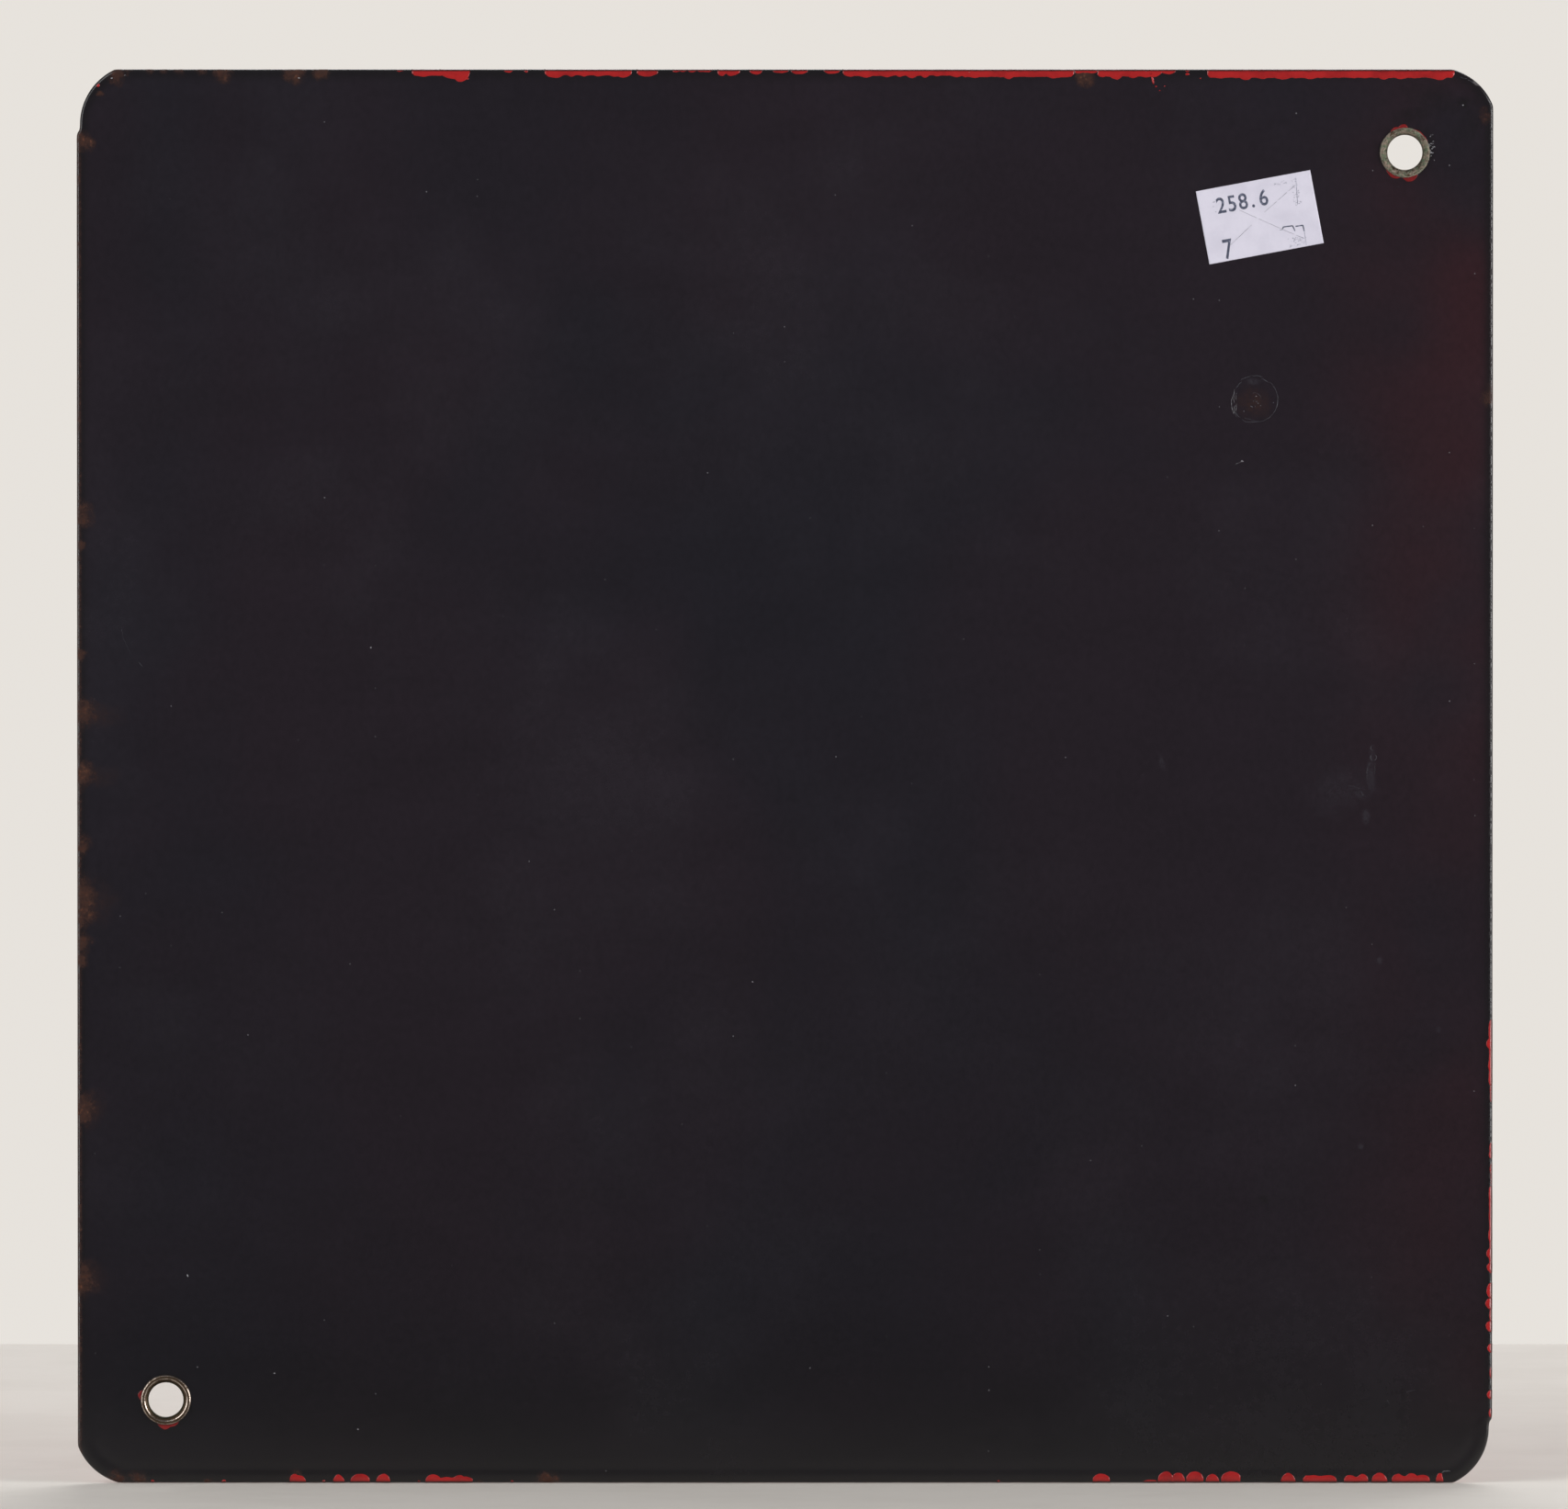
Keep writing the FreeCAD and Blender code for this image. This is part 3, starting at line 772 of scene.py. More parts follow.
@dataclass(frozen=True)
class Brass:
    """Tarnished brass with verdigris, with painted highlights as bright rings on both sides of the lip's
    crest.
    """

    patina: Patina
    middle: tuple[float, float, float]
    # Colour of the painted highlight rings.
    bright: Colour = (0.50, 0.42, 0.36)
    tarnish: Colour = (0.088, 0.059, 0.038)
    olive: Colour = (0.026, 0.025, 0.013)
    green: Colour = (0.064, 0.102, 0.050)
    beige: Colour = (0.225, 0.160, 0.118)
    chalky: Colour = (0.300, 0.275, 0.220)
    plain: Colour = (0.36, 0.27, 0.15)
    brown: Colour = (0.045, 0.028, 0.018)
    mouth: float = 4.2
    highlight_radii: tuple[float, ...] = (4.55, 5.25)
    highlight_width: float = 0.12
    blotch_size: float = 1.5
    tint_size: float = 1.2
    spot_size: float = 0.45
    fine_size: float = 0.35

    def build(self) -> bpy.types.Material:
        """Makes the material.

        Returns:
            The material.
        """
        share, rough = self.patina.value
        material, graph, shader, place = new_material("brass_" + self.patina.name.lower())
        outwards = graph.vector("MULTIPLY", graph.vector("SUBTRACT", place, self.middle), (1.0, 0.0, 1.0))
        blotch = graph.noise(place, self.blotch_size, 4.0, 0.6, seed=1.0)
        fine = graph.noise(place, self.fine_size, 4.0, 0.7, seed=2.0)
        radius = graph.math("DIVIDE", graph.length(outwards), MM)
        radius = graph.plus(radius, graph.times(graph.less(blotch, 0.5), 0.35))
        # Painted highlights: bright brass rings on both slopes of the lip, where the lamps reflect.
        highlight_rings = 0.0
        for ring in self.highlight_radii:
            away = graph.math("ABSOLUTE", graph.less(radius, ring))
            highlight_rings = graph.plus(highlight_rings, graph.step(away, self.highlight_width * 1.6, self.highlight_width * 0.5))
        # worn here is the mask of the painted highlight rings.
        worn = graph.times(highlight_rings, graph.step(blotch, 0.30, 0.52))
        metal = graph.mix(worn, self.tarnish, self.bright)
        metal = graph.mix(graph.times(graph.step(fine, 0.45, 0.75), 0.6), metal, self.olive)
        inner = graph.step(radius, self.mouth, self.mouth - 0.2)
        metal = graph.mix(graph.times(inner, 0.9), metal, self.olive)
        tint = graph.noise(place, self.tint_size, 5.0, 0.8, seed=3.0)
        spots = graph.noise(place, self.spot_size, 4.0, 0.75, seed=4.0)
        crust_tone = graph.mix(graph.step(tint, 0.42, 0.58), self.green, self.beige)
        crust_tone = graph.mix(graph.times(graph.step(spots, 0.48, 0.60), 0.8), crust_tone, self.brown)
        edge = graph.step(graph.math("ABSOLUTE", graph.less(radius, self.highlight_radii[1])), 0.24, 0.08)
        chalk = graph.math("ADD", graph.times(edge, 0.35), graph.step(fine, 0.54, 0.66), clamp=True)
        crust_tone = graph.mix(graph.times(chalk, 0.7), crust_tone, self.chalky)
        crust_tone = graph.mix(graph.times(inner, 0.7), crust_tone, self.brown)
        front = graph.step(graph.parts(place)[1], 0.0, 0.6 * MM)
        metal = graph.mix(graph.times(front, graph.step(fine, 0.75, 0.40)), metal, self.plain)
        cover = graph.plus(blotch, graph.times(graph.less(fine, 0.5), 0.6))
        cover = graph.math("MULTIPLY_ADD", front, -0.35, cover)
        crust = graph.step(cover, 0.98 - share * 0.75, 1.12 - share * 0.75)
        colour = graph.mix(crust, metal, crust_tone)
        dull = graph.times(graph.math("MAXIMUM", crust, graph.less(0.7, worn)), 0.4)
        gloss = graph.plus(0.24, dull)
        metallic = graph.less(1.0, graph.times(crust, 0.9))
        relief = graph.times(graph.plus(fine, graph.times(crust, tint)), rough)
        finish_shader(graph, shader, relief, 0.8, {
            "Base Color": colour, "Metallic": metallic, "Roughness": gloss})
        return material


@dataclass(frozen=True)
class LabelPaper:
    """Smooth whitish paper with a faint grain."""

    sheet: Colour = (0.60, 0.575, 0.655)
    shade: Colour = (0.46, 0.44, 0.52)
    cloud_size: float = 6.0
    fibre_size: float = 0.25

    def build(self) -> bpy.types.Material:
        """Makes the material.

        Returns:
            The material.
        """
        material, graph, shader, place = new_material("label_paper")
        cloud = graph.noise(place, self.cloud_size, 4.0, 0.6, seed=1.0)
        fibre = graph.noise(place, self.fibre_size, 3.0, 0.7, seed=2.0)
        colour = graph.mix(graph.times(graph.step(cloud, 0.35, 0.75), 0.45), self.sheet, self.shade)
        colour = graph.mix(graph.times(graph.step(fibre, 0.5, 0.8), 0.25), colour, self.shade)
        finish_shader(graph, shader, graph.times(fibre, 0.03), 0.4, {"Base Color": colour, "Roughness": 0.62})
        return material


@dataclass(frozen=True)
class Speckled:
    """A dull finish of two colours in fine patches: ink, glue or a bare floor."""

    name: str
    main: Colour
    second: Colour
    patch: float
    spread: tuple[float, float] = (0.4, 0.65)
    roughness: float = 0.6

    def build(self) -> bpy.types.Material:
        """Makes the material.

        Returns:
            The material.
        """
        material, graph, shader, place = new_material(self.name)
        patches = graph.noise(place, self.patch, 4.0, 0.65, seed=1.0)
        colour = graph.mix(graph.step(patches, *self.spread), self.main, self.second)
        gloss = graph.plus(self.roughness, graph.times(patches, 0.15))
        finish_shader(graph, shader, graph.times(patches, self.patch * 0.05), 0.3, {
            "Base Color": colour, "Roughness": gloss})
        return material


# Enamelled plate

@dataclass
class Plate:
    """The enamelled steel plate: a soft rim carried round its punched outline, and flat faces."""

    width: float
    height: float
    thickness: float
    punch_radius: float = 13.15
    punch_leg: float = 1.2
    deep_side: float = 13.85
    deep_end: float = 11.95
    shallow_side: float = 12.3
    shallow_end: float = 12.7
    corner_round: float = 0.6
    rim_round: float = 0.70
    recess: float = 0.10
    border: float = 8.0
    core_round: float = 6.0
    hole_side: float = 19.1
    hole_end: float = 18.0
    hole_radius: float = 4.25
    chip: Point = (149.2, 150.0)
    chip_radius: float = 1.5
    chip_depth: float = 0.22
    relief: float = 0.055
    relief_size: float = 3.2
    seam_line: float = 0.12
    seam_wander: float = 0.05

    def outline(self) -> list[Point]:
        """Gives the outline's stations, clockwise as seen from the back.

        Returns:
            The stations.
        """
        wide, high = self.width / 2, self.height / 2
        radius = self.punch_radius
        x, z = -wide + self.deep_side, high - self.deep_end
        wall = x - radius
        step = wall + wide
        upper = [(-wide, z - self.punch_leg - step), (wall, z - self.punch_leg)]
        roof = 180.0 - math.degrees(math.asin(self.deep_end / radius))
        upper += arc(x, z, radius, 180.0, roof, 34)
        first = math.degrees(math.asin(self.shallow_end / radius))
        last = math.degrees(math.acos(self.shallow_side / radius))
        upper += arc(wide - self.shallow_side, high - self.shallow_end, radius, first, last, 30)
        corners = upper + [(-x, -z) for x, z in upper]
        return self.eased(divided(self.softened(corners), 1.0, closed=True))

    def eased(self, points: Sequence[Point], reach: float = 0.8, passes: int = 3) -> list[Point]:
        """Eases a closed outline where the punched rounds meet the straight sides.

        Args:
            points: The outline.
            reach: How far from a slight kink the line is eased.
            passes: How often it is eased.

        Returns:
            The eased outline.
        """
        line = [Vector(p) for p in points]
        count = len(line)
        turns = [math.degrees((line[i] - line[i - 1]).angle(line[(i + 1) % count] - line[i]))
                 for i in range(count)]
        kinks = [line[i] for i in range(count) if 6.0 < turns[i] < 18.0]
        near = [any((here - kink).length < reach for kink in kinks) for here in line]
        for _ in range(passes):
            line = [(line[i - 1] + line[i] * 2 + line[(i + 1) % count]) / 4 if near[i] else line[i]
                    for i in range(count)]
        return [tuple(here) for here in line]

    def softened(self, points: Sequence[Point]) -> list[Point]:
        """Rounds the sharp turns of a closed outline.

        Args:
            points: The outline.

        Returns:
            The outline with rounded turns.
        """
        result = []
        for i, here in enumerate(points):
            before, after = Vector(points[i - 1]), Vector(points[(i + 1) % len(points)])
            corner = Vector(here)
            turn = (corner - before).angle(after - corner)
            if turn < math.radians(8.0):
                result.append(here)
                continue
            reach = self.corner_round * math.tan(turn / 2)
            reach = min(reach, 0.45 * (corner - before).length, 0.45 * (after - corner).length)
            start = corner + (before - corner).normalized() * reach
            end = corner + (after - corner).normalized() * reach
            middle = (start + end) / 4 + corner / 2
            result += [tuple(start), tuple(middle), tuple(end)]
        return result

    def to_core(self, x: float, z: float) -> Vector:
        """Gives the way from a place at the edge to the flat part of the face.

        Args:
            x: The place along X.
            z: The place along Z.

        Returns:
            The way.
        """
        side = self.width / 2 - self.border - self.core_round
        end = self.height / 2 - self.border - self.core_round
        inner = Vector((max(-side, min(side, x)), max(-end, min(end, z))))
        here = Vector((x, z))
        return inner + (here - inner).normalized() * self.core_round - here

    def section(self) -> list[tuple[float, float, float, float]]:
        """Gives the rim's section from the back face round to the front face.

        Returns:
            For each point its inset, its share of the way to the flat part, its depth, and how
            much it wavers.
        """
        half, soft = self.thickness / 2, self.rim_round
        insets = (0.95, 1.2, 1.5, 1.85, 2.25, 2.7, 3.2, 3.7, 4.3, 5.2, 6.5, self.border)
        face = []
        for inset in insets:
            share = (inset - soft) / (self.border - soft)
            swell = 0.020 * bell(inset - 1.5, 0.7) - 0.035 * bell(inset - 3.1, 0.9)
            face.append(((soft + self.recess) * (1 - share), share, -half - swell, bell(inset, 1.2)))
        rim = [(soft + self.recess - soft * math.sin(t), 0.0, -(half - soft) - soft * math.cos(t), 1.0)
               for t in (math.radians(11.25 * k) for k in range(9))]
        back = face[::-1] + rim
        front = [(inset, share, -depth, give) for inset, share, depth, give in back]
        side = [(self.recess, 0.0, (half - soft) * k / 2, 1.0) for k in (-1, 0, 1)]
        return back + side + front[::-1]

    def strike(self, made: bpy.types.Object) -> None:
        """Dents the chip in the corner and marks it on the mesh.

        Args:
            made: The plate.
        """
        chip = []
        for vertex in made.data.vertices:
            x, y, z = (value / MM for value in vertex.co)
            struck = max(0.0, 1.0 - math.dist((x, z), self.chip) / self.chip_radius)
            if y < 0.0 and struck > 0.0:
                vertex.co.y += self.chip_depth * MM * min(1.0, struck * 2.5)
            chip.append(min(1.0, struck * 3.0) if y < 0.0 else 0.0)
        store(made, "chip", "FLOAT", chip)

    def hole(self, way: int) -> Point:
        """Gives an eyelet hole's middle: the upper right one for 1, the lower left one for -1."""
        return way * (self.width / 2 - self.hole_side), way * (self.height / 2 - self.hole_end)

    def close(self, work: bmesh.types.BMesh) -> None:
        """Closes the rim's band with two flat faces that have the eyelets' holes in them.

        Args:
            work: The band's mesh.
        """
        borders = [edge for edge in work.edges if edge.is_boundary]
        holes = []
        for side in (-1, 1):
            depth = side * self.thickness / 2 * MM
            border = [edge for edge in borders if edge.verts[0].co.y * side > 0]
            loops = []
            for way in (-1, 1):
                ring = arc(*self.hole(way), self.hole_radius, 0.0, 360.0, 48)[:-1]
                corners = [work.verts.new((x * MM, depth, z * MM)) for x, z in ring]
                loops.append([work.edges.new((a, b)) for a, b in zip(corners, corners[1:] + corners[:1])])
            bmesh.ops.triangle_fill(work, use_beauty=True, edges=border + loops[0] + loops[1])
            holes.append(loops)
        for back, front in zip(*holes):
            bmesh.ops.bridge_loops(work, edges=back + front)

    def build(self, sweep: bpy.types.NodeTree, dark: bpy.types.Material,
              red: bpy.types.Material) -> bpy.types.Object:
        """Makes the plate in place of its solid.

        Args:
            sweep: The tree that carries a section along an outline.
            dark: The back's finish.
            red: The front's finish.

        Returns:
            The plate.
        """
        stations = [Vector(p) for p in self.outline()]
        count = len(stations)
        loop = [(i, (i + 1) % count) for i in range(count)]
        made = new_mesh("enamel_plate", [(p.x * MM, 0.0, p.y * MM) for p in stations], loop)
        ways, cores = [], []
        for i, here in enumerate(stations):
            run = (stations[(i + 1) % count] - stations[i - 1]).normalized()
            core = self.to_core(here.x, here.y) * MM
            ways.append((run.y * MM, 0.0, -run.x * MM))
            cores.append((core.x, 0.0, core.y))
        store(made, "way", "FLOAT_VECTOR", ways)
        store(made, "core", "FLOAT_VECTOR", cores)
        profile = self.section()
        section = new_mesh("rim_section", [(a, b, c * MM) for a, b, c, _ in profile])
        store(section, "give", "FLOAT", [give for *_, give in profile])
        insets = [a + b * self.border for a, b, *_ in profile]
        # The number edge sets where the back's finish paints a shade band along the rim.
        store(section, "edge", "FLOAT", [bell(max(0.0, inset - 0.8), 1.3) for inset in insets])
        grow(made, sweep, {"Section": section, "Relief": self.relief * MM,
                           "Relief Size": self.relief_size * MM, "Seed": 3.0, "Finish": dark})
        discard(section)
        edit(made, self.close)
        self.strike(made)
        made.data.materials.clear()
        made.data.materials.append(dark)
        made.data.materials.append(red)
        turn = random.Random(11)
        for face in made.data.polygons:
            edge = self.seam_line + turn.uniform(-self.seam_wander, self.seam_wander)
            face.material_index = 1 if face.center.y / MM > edge else 0
        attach(made, BODY)
        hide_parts("enamelled_plate")
        return made


# Pads that lie on the plate

@dataclass(frozen=True)
class Streak:
    """A thin line of dried glue or a scratch: its points, and its width in the middle."""

    points: tuple[Point, ...]
    width: float


@dataclass(frozen=True)
class Fleck:
    """A small pale fleck: its place, width, height and turn in degrees."""

    across: float
    up: float
    wide: float
    tall: float
    turn: float = 0.0


@dataclass
class Pads:
    """Closed pads, gathered before they are laid on the plate."""

    points: list[tuple[float, float, float]] = field(default_factory=list)
    faces: list[tuple[int, ...]] = field(default_factory=list)
    swell: list[float] = field(default_factory=list)

    def add(self, rows: Sequence[Sequence[tuple[float, float, float]]],
            heights: Sequence[Sequence[float]]) -> None:
        """Adds a pad from rows of places in millimetres.

        Args:
            rows: Equally long rows of places along the pad.
            heights: The swell of each place, from 0 at the borders to about 1.
        """
        across = len(rows[0])
        for sign, sunk in ((1.0, -0.12), (-0.4, -0.12)):
            start = len(self.points)
            for row, levels in zip(rows, heights):
                self.points += [tuple(value * MM for value in place) for place in row]
                self.swell += [level * sign + sunk for level in levels]
            for i in range(len(rows) - 1):
                for j in range(across - 1):
                    a = start + i * across + j
                    corners = (a, a + 1, a + across + 1, a + across)
                    self.faces.append(corners if sign > 0 else corners[::-1])

    def add_fleck(self, fleck: Fleck, depth: float) -> None:
        """Adds a small rounded pad at a depth.

        Args:
            fleck: The fleck.
            depth: Its place along Y.
        """
        turned = Matrix.Rotation(math.radians(fleck.turn), 2)
        rows, heights = [], []
        count = 8
        for i in range(count + 1):
            along = -math.cos(math.pi * i / count)
            side = math.sqrt(max(0.0, 1.0 - along * along))
            spans = (-1.0, -0.6, 0.0, 0.6, 1.0)
            places = [turned @ Vector((fleck.wide / 2 * along, fleck.tall / 2 * side * k)) for k in spans]
            rows.append([(fleck.across + p.x, depth, fleck.up + p.y) for p in places])
            heights.append([side * (1.0 - k * k) for k in spans])
        self.add(rows, heights)

    def lay(self, name: str, lay: bpy.types.NodeTree, plate: bpy.types.Object,
            finish: bpy.types.Material, coat: float, wander: float,
            wander_size: float) -> bpy.types.Object:
        """Lays the pads on the plate as one piece.

        Args:
            name: The piece's name.
            lay: The tree that lays pads on a surface.
            plate: The plate.
            finish: The pads' material.
            coat: The thickness of the pads where the swell is 1, in millimetres.
            wander: How far their borders wander, in millimetres.
            wander_size: The length of those wanderings, in millimetres.

        Returns:
            The piece.
        """
        made = new_mesh(name, self.points, (), self.faces)
        store(made, "swell", "FLOAT", self.swell)
        grow(made, lay, {"Surface": plate, "Coat": coat * MM, "Wander": wander * MM,
                         "Wander Size": wander_size * MM, "Seed": 5.0, "Finish": finish})
        edit(made, lambda work: bmesh.ops.dissolve_degenerate(work, dist=1e-8, edges=work.edges))
        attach(made, BODY)
        return made


class Edge(Enum):
    """A side of the plate: the direction along it, and the direction into the plate."""

    TOP = ((1, 0), (0, -1))
    BOTTOM = ((1, 0), (0, 1))
    RIGHT = ((0, 1), (-1, 0))


@dataclass(frozen=True)
class Run:
    """Red enamel that ran over an edge: from where to where, how far in, and its drops' width."""

    edge: Edge
    first: float
    last: float
    reach: float
    drop: float = 3.0
    strip: float = 0.55


@dataclass
class RedRuns:
    """All the red enamel that ran over the edges and out from under the eyelets."""

    plate: Plate
    runs: tuple[Run, ...]
    pools: tuple[tuple[int, float, float, float], ...]
    spots: tuple[Fleck, ...]
    lip_radius: float = 5.2
    start: float = 0.25
    coat: float = 0.16
    steps: int = 12
    pool_parts: int = 22
    wander: float = 0.55
    wander_size: float = 1.6
    thin_from: float = 0.58
    thin_over: float = 0.25
    seed: int = 20

    def reach_at(self, run: Run, place: float, drops: Sequence[tuple[float, float, float]]) -> float:
        """Gives how far a run reaches on to the back at a place along its edge.

        Args:
            run: The run.
            place: The place along the edge.
            drops: The run's drops.

        Returns:
            The reach.
        """
        length = run.last - run.first
        ends = min(place - run.first, run.last - place) / min(0.8, length / 2)
        reach = run.strip * run.reach * math.sqrt(max(0.0, min(1.0, ends)))
        for middle, half, depth in drops:
            off = (place - middle) / half
            if abs(off) < 1.0:
                reach = max(reach, depth * math.sqrt(1.0 - off * off))
        return reach

    def drops(self, run: Run, chance: random.Random) -> list[tuple[float, float, float]]:
        """Gives a run's drops: their middles, half widths and reaches.

        Args:
            run: The run.
            chance: The source of random numbers.

        Returns:
            The drops.
        """
        length = run.last - run.first
        if length < 1.6 * run.drop:
            return [((run.first + run.last) / 2, length / 2, run.reach)]
        drops = []
        place = run.first
        while place < run.last - 0.3 * run.drop:
            half = run.drop * chance.uniform(0.35, 0.75)
            middle = min(place + half, run.last - half)
            drops.append((middle, half, run.reach * chance.uniform(0.78, 1.1)))
            place = middle + half * chance.uniform(0.55, 0.95)
        return drops

    def over_rim(self, run: Run, place: float, distance: float) -> tuple[float, float, float]:
        """Gives the place on the plate's rim at a distance along its section, from the side.

        Args:
            run: The run.
            place: The place along the edge.
            distance: The distance along the section.

        Returns:
            The place in the frame, in millimetres.
        """
        soft, half = self.plate.rim_round, self.plate.thickness / 2
        flat = half - soft + self.start
        bend = soft * math.pi / 2
        if distance < flat:
            inset, depth = 0.0, self.start - distance
        elif distance < flat + bend:
            turn = (distance - flat) / soft
            inset, depth = soft * (1 - math.cos(turn)), -(half - soft) - soft * math.sin(turn)
        else:
            inset, depth = distance - flat - bend + soft, -half
        inset += self.plate.recess
        (ax, az), (ix, iz) = run.edge.value
        edge = self.plate.width / 2 if ix else self.plate.height / 2
        x = ax * place - ix * edge + ix * inset
        z = az * place - iz * edge + iz * inset
        return x, depth, z

    def add_run(self, pads: Pads, run: Run, chance: random.Random) -> None:
        """Adds one run as a pad that wraps the rim.

        Args:
            pads: The pads to add it to.
            run: The run.
            chance: The source of random numbers.
        """
        soft, half = self.plate.rim_round, self.plate.thickness / 2
        drops = self.drops(run, chance)
        length = run.last - run.first
        count = max(8, round(length / 0.3))
        places = [run.first + length * (0.5 - 0.5 * math.cos(math.pi * k / count)) if length < 4.0
                  else run.first + length * k / count for k in range(count + 1)]
        reaches = [self.reach_at(run, place, drops) for place in places]
        rows, heights = [], []
        for place, reach in zip(places, reaches):
            if reach < soft:
                bend = soft * math.acos(1.0 - reach / soft)
            else:
                bend = soft * math.pi / 2 + reach - soft
            total = half - soft + self.start + bend
            shares = [math.sin(math.pi / 2 * j / (self.steps - 1)) for j in range(self.steps)]
            rows.append([self.over_rim(run, place, total * share) for share in shares])
            full = min(1.0, reach / 0.8)
            lean = [0.4 + 0.6 * max(0.0, min(1.0, (total * share - half) / soft)) for share in shares]
            heights.append([full * low * math.sqrt(max(0.0, 1.0 - (2.0 * share - 1.0) ** 4))
                            for share, low in zip(shares, lean)])
        pads.add(rows, heights)

    def add_pool(self, pads: Pads, way: int, first: float, last: float, reach: float) -> None:
        """Adds red that came out from under an eyelet.

        Args:
            pads: The pads to add it to.
            way: 1 for the upper eyelet, -1 for the lower one.
            first: The angle where it starts, in degrees.
            last: The angle where it ends.
            reach: How far from the eyelet's middle it reaches.
        """
        across, up = self.plate.hole(way)
        rows, heights = [], []
        for i in range(self.pool_parts + 1):
            turn = math.radians(first + (last - first) * i / self.pool_parts)
            edge = max(0.0, 1.0 - (2.0 * i / self.pool_parts - 1.0) ** 2)
            outer = self.lip_radius + (reach - self.lip_radius) * edge
            row, levels = [], []
            for j in range(self.steps):
                share = j / (self.steps - 1)
                radius = self.lip_radius + (outer - self.lip_radius) * share
                row.append((across + radius * math.cos(turn), -self.plate.thickness / 2,
                            up + radius * math.sin(turn)))
                levels.append(edge * math.sqrt(max(0.0, 1.0 - (2.0 * share - 1.0) ** 4)))
            rows.append(row)
            heights.append(levels)
        pads.add(rows, heights)

    def build(self, name: str, lay: bpy.types.NodeTree, plate: bpy.types.Object,
              finish: bpy.types.Material) -> bpy.types.Object:
        """Makes the piece.

        Args:
            name: The piece's name.
            lay: The tree that lays pads on a surface.
            plate: The plate.
            finish: The red enamel.

        Returns:
            The piece, with the number "thin" where the red is thin at the edge.
        """
        pads = Pads()
        chance = random.Random(self.seed)
        for run in self.runs:
            self.add_run(pads, run, chance)
        for pool in self.pools:
            self.add_pool(pads, *pool)
        for spot in self.spots:
            pads.add_fleck(spot, -self.plate.thickness / 2)
        made = pads.lay(name, lay, plate, finish, self.coat, self.wander, self.wander_size)
        wide, high = self.plate.width / 2, self.plate.height / 2
        insets = [min(wide - abs(v.co.x) / MM, high - abs(v.co.z) / MM) for v in made.data.vertices]
        thin = [max(0.0, min(1.0, (self.thin_from - inset) / self.thin_over)) for inset in insets]
        store(made, "thin", "FLOAT", thin)
        return made


@dataclass
class Marks:
    """Pale glue, flecks and scratches on the back."""

    streaks: tuple[Streak, ...]
    flecks: tuple[Fleck, ...]
    depth: float = -1.0
    spacing: float = 0.25
    wander: float = 0.5
    wander_size: float = 0.7

    def build(self, lay: bpy.types.NodeTree, plate: bpy.types.Object, name: str, coat: float,
              finish: bpy.types.Material) -> bpy.types.Object:
        """Makes the marks as one piece.

        Args:
            lay: The tree that lays pads on a surface.
            plate: The plate.
            name: The piece's name.
            coat: The marks' thickness, in millimetres.
            finish: Their material.

        Returns:
            The piece.
        """
        pads = Pads()
        for streak in self.streaks:
            line = [Vector(p) for p in divided(streak.points, self.spacing)]
            rows, heights = [], []
            for i, here in enumerate(line):
                run = (line[min(i + 1, len(line) - 1)] - line[max(i - 1, 0)]).normalized()
                thin = math.sqrt(max(0.0, 1.0 - (2.0 * i / (len(line) - 1) - 1.0) ** 2))
                half = streak.width / 2 * thin
                spans = (-1.0, -0.5, 0.0, 0.5, 1.0)
                rows.append([(here.x - run.y * half * k, self.depth, here.y + run.x * half * k)
                             for k in spans])
                heights.append([thin * (1.0 - k * k) for k in spans])
            pads.add(rows, heights)
        for fleck in self.flecks:
            pads.add_fleck(fleck, self.depth)
        return pads.lay(name, lay, plate, finish, coat, self.wander, self.wander_size)


# Eyelets

